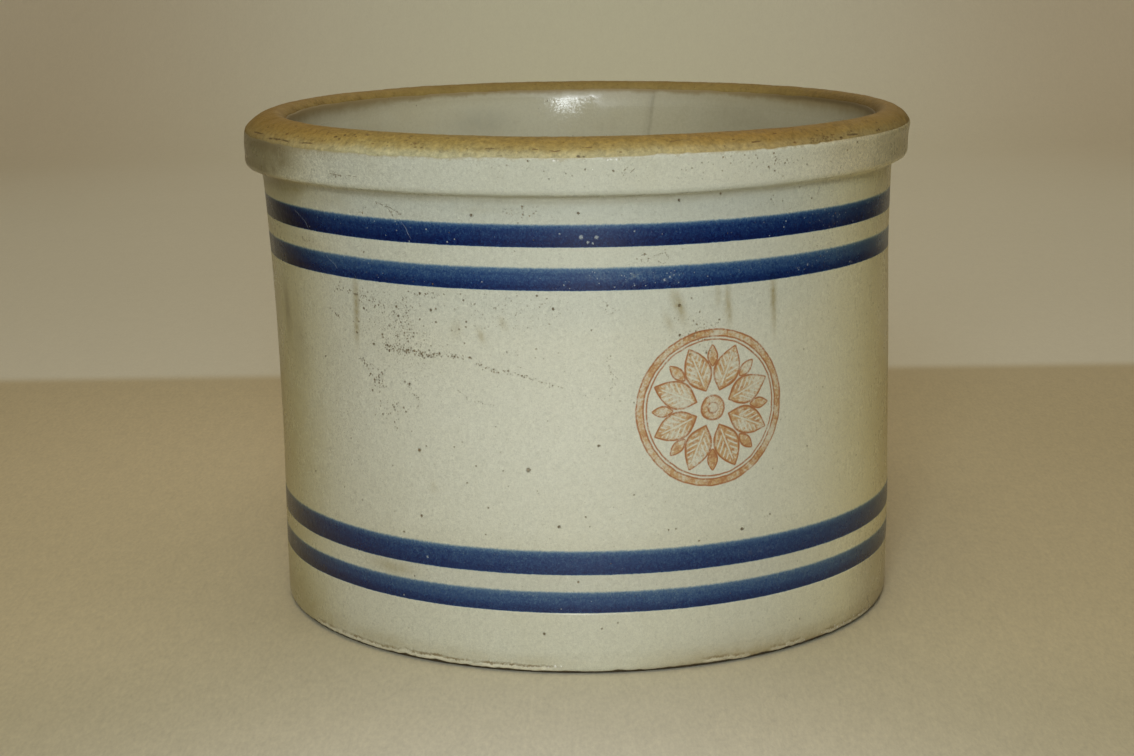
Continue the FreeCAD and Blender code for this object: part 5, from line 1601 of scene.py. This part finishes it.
# ---------------------------------------------------------------------- stage
def floor_material():
    n = Nodes("pale_floor")
    mm = n.vmath("SCALE", S(n, n.node("ShaderNodeTexCoord").outputs["Object"]), 1000.0)
    x, y, z = n.split(mm)
    big = n.noise(mm, 0.004, 2, 0.5, signed=True)
    fine = n.noise(n.join(x, y * 0.4, z), 1.6, 2, 0.6, signed=True)
    # painted light: a pool of light on the table in front of the pot
    near = n.math("EXPONENT", ((x + 10.0) * (x + 10.0) / 20000.0 + (y + 330.0) * (y + 330.0) / 40000.0) * -1.0)
    table = n.mix(n.step(big, -0.6, 0.6), (0.582, 0.528, 0.348), (0.560, 0.508, 0.324))
    table = n.mix(near, table, (0.975, 1.000, 0.930))
    # painted light: a paler patch on the table to the left of and behind the pot
    side = n.math("EXPONENT", ((x + 165.0) * (x + 165.0) / 22000.0 + (y - 170.0) * (y - 170.0) / 30000.0) * -1.0)
    table = n.mix(side * 0.5, table, (0.760, 0.690, 0.480))
    # painted light and shade on the backdrop: brighter in the middle towards the back, darker to the sides
    rise = n.math("EXPONENT", x * x / -60000.0) * n.step(y, 1150.0, 1550.0)
    far = n.mix(n.step(big, -0.6, 0.6), (0.800, 0.820, 0.715), (0.780, 0.800, 0.690))
    far = n.mix(rise, far, (0.870, 0.930, 0.790))
    far = n.mix(n.step(n.math("ABSOLUTE", x), 200.0, 540.0) * n.step(y, 800.0, 1450.0), far, n.mix(1.0, far, (0.88, 0.82, 0.76), "MULTIPLY"))
    col = n.mix(n.step(y + x * -0.03, 330.0, 352.0), table, far)
    # painted shade: the floor is near black to the left and to the right of what the camera sees, for a dim room
    col = n.mix(n.step(n.math("ABSOLUTE", x) - y * 0.27, 340.0, 560.0) * 0.94, col, (0.05, 0.04, 0.025))
    # painted shade: the table a little darker at the front, to either side of the pot
    col = n.mix(n.step(n.math("ABSOLUTE", x + 8.0), 45.0, 140.0) * n.step(y, -60.0, -140.0), col, n.mix(1.0, col, (0.885, 0.895, 0.885), "MULTIPLY"))
    lie = n.join(x, y * 0.3, z * 0.3)
    mottle = n.noise(lie, 0.22, 3, 0.7, signed=True)
    weave = n.noise(lie, 0.85, 2, 0.6, signed=True)
    col = n.vmath("SCALE", col, 1.0 + (fine * 0.065 + weave * 0.160 + mottle * 0.105) * n.step(y, 360.0, 300.0, 0.35, 1.0))
    n.set(Base_Color=col)
    n.pbr.inputs["Roughness"].default_value = 0.62
    n.set(Normal=n.bump(fine, 0.00005))
    return n.m


seg = 128
prof = [(0.0, 0.0), (0.35, 0.0), (0.7, 0.0), (1.0, 0.0), (1.35, 0.0)]
cove = [(1.35 + 0.5 * math.sin(a), 0.5 - 0.5 * math.cos(a)) for a in np.linspace(0, math.pi / 2, 14)[1:]]
prof += cove + [(1.85, 1.7)]
verts, faces = [(0, 0, 0)], []
for r, z in prof[1:]:
    for j in range(seg):
        a = j / seg * TAU
        verts.append((r * math.cos(a), r * math.sin(a), z))
for j in range(seg):
    faces.append((0, 1 + j, 1 + (j + 1) % seg))
for i in range(len(prof) - 2):
    for j in range(seg):
        a, b = 1 + i * seg + j, 1 + i * seg + (j + 1) % seg
        faces.append((a, b, b + seg, a + seg))
me = bpy.data.meshes.new("floor")
me.from_pydata(verts, [], [f if len(f) == 3 else tuple(reversed(f)) for f in faces])
me.polygons.foreach_set("use_smooth", np.ones(len(me.polygons), bool))
me.materials.append(floor_material())
me.update()
floor = bpy.data.objects.new("floor", me)
bpy.context.scene.collection.objects.link(floor)
floor.location = (0, 0, -0.00002)
floor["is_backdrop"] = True

# --------------------------------------------------------------------- camera
yaw, pitch, roll = math.radians(-0.455), math.radians(11.936), math.radians(-0.600)
fw = Vector((math.sin(yaw) * math.cos(pitch), math.cos(yaw) * math.cos(pitch), -math.sin(pitch)))
rt = fw.cross(Vector((0, 0, 1))).normalized()
up = rt.cross(fw)
rt2 = math.cos(roll) * rt + math.sin(roll) * up
up2 = -math.sin(roll) * rt + math.cos(roll) * up
cam_data = bpy.data.cameras.new("camera")
cam_data.lens, cam_data.sensor_width, cam_data.sensor_fit = 72.01, 36.0, "HORIZONTAL"
cam_data.clip_start, cam_data.clip_end = 0.01, 30.0
cam = bpy.data.objects.new("camera", cam_data)
bpy.context.scene.collection.objects.link(cam)
m = Matrix.Identity(4)
for i, v in enumerate((rt2, up2, -fw)):
    for j in range(3):
        m[j][i] = v[j]
m[0][3], m[1][3], m[2][3] = 0.0, -0.74155, 0.225835
cam.matrix_world = m
bpy.context.scene.camera = cam


# --------------------------------------------------------------------- lights
def area(name, at, aim, size, power, colour, size_y=None):
    li = bpy.data.lights.new(name, "AREA")
    li.shape = "RECTANGLE"
    li.size, li.size_y = size, size_y or size
    li.energy, li.color = power, colour
    o = bpy.data.objects.new(name, li)
    bpy.context.scene.collection.objects.link(o)
    o.location = at
    o.rotation_mode = "QUATERNION"
    o.rotation_quaternion = (Vector(aim) - Vector(at)).to_track_quat("-Z", "Y")
    return o


area("front_light", (-0.07, -1.0, 0.50), (0, 0, 0.08), 0.25, 4.80, (0.90, 0.955, 1.0))
area("high_light", (-0.1, -0.9, 1.5), (0, 0, 0.08), 0.6, 3.6, (1.0, 0.89, 0.66))
area("window_light", (0.185, -1.78, 0.37), (0, 0, 0.12), 0.24, 4.4, (0.90, 0.97, 1.0), 0.28)
area("back_light", (0.3, 1.5, 1.25), (0, 0, 0.08), 1.2, 3.0, (1.0, 0.85, 0.62))
area("top_light", (0.0, -0.1, 1.6), (0, 0, 0.08), 1.2, 2.6, (1.0, 0.83, 0.56))
area("wall_light", (0.0, 0.85, 1.5), (0, 1.75, 0.45), 0.9, 2.0, (0.97, 0.98, 1.0))

world = bpy.data.worlds.new("soft_room")
bpy.context.scene.world = world
world.use_nodes = True
bg = world.node_tree.nodes["Background"]
bg.inputs[0].default_value = (1.0, 0.55, 0.14, 1)
bg.inputs[1].default_value = 0.16

vs = bpy.context.scene.view_settings
vs.view_transform = "Standard"
vs.look = "None"
vs.exposure = 0.0
vs.gamma = 1.0

lo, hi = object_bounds()
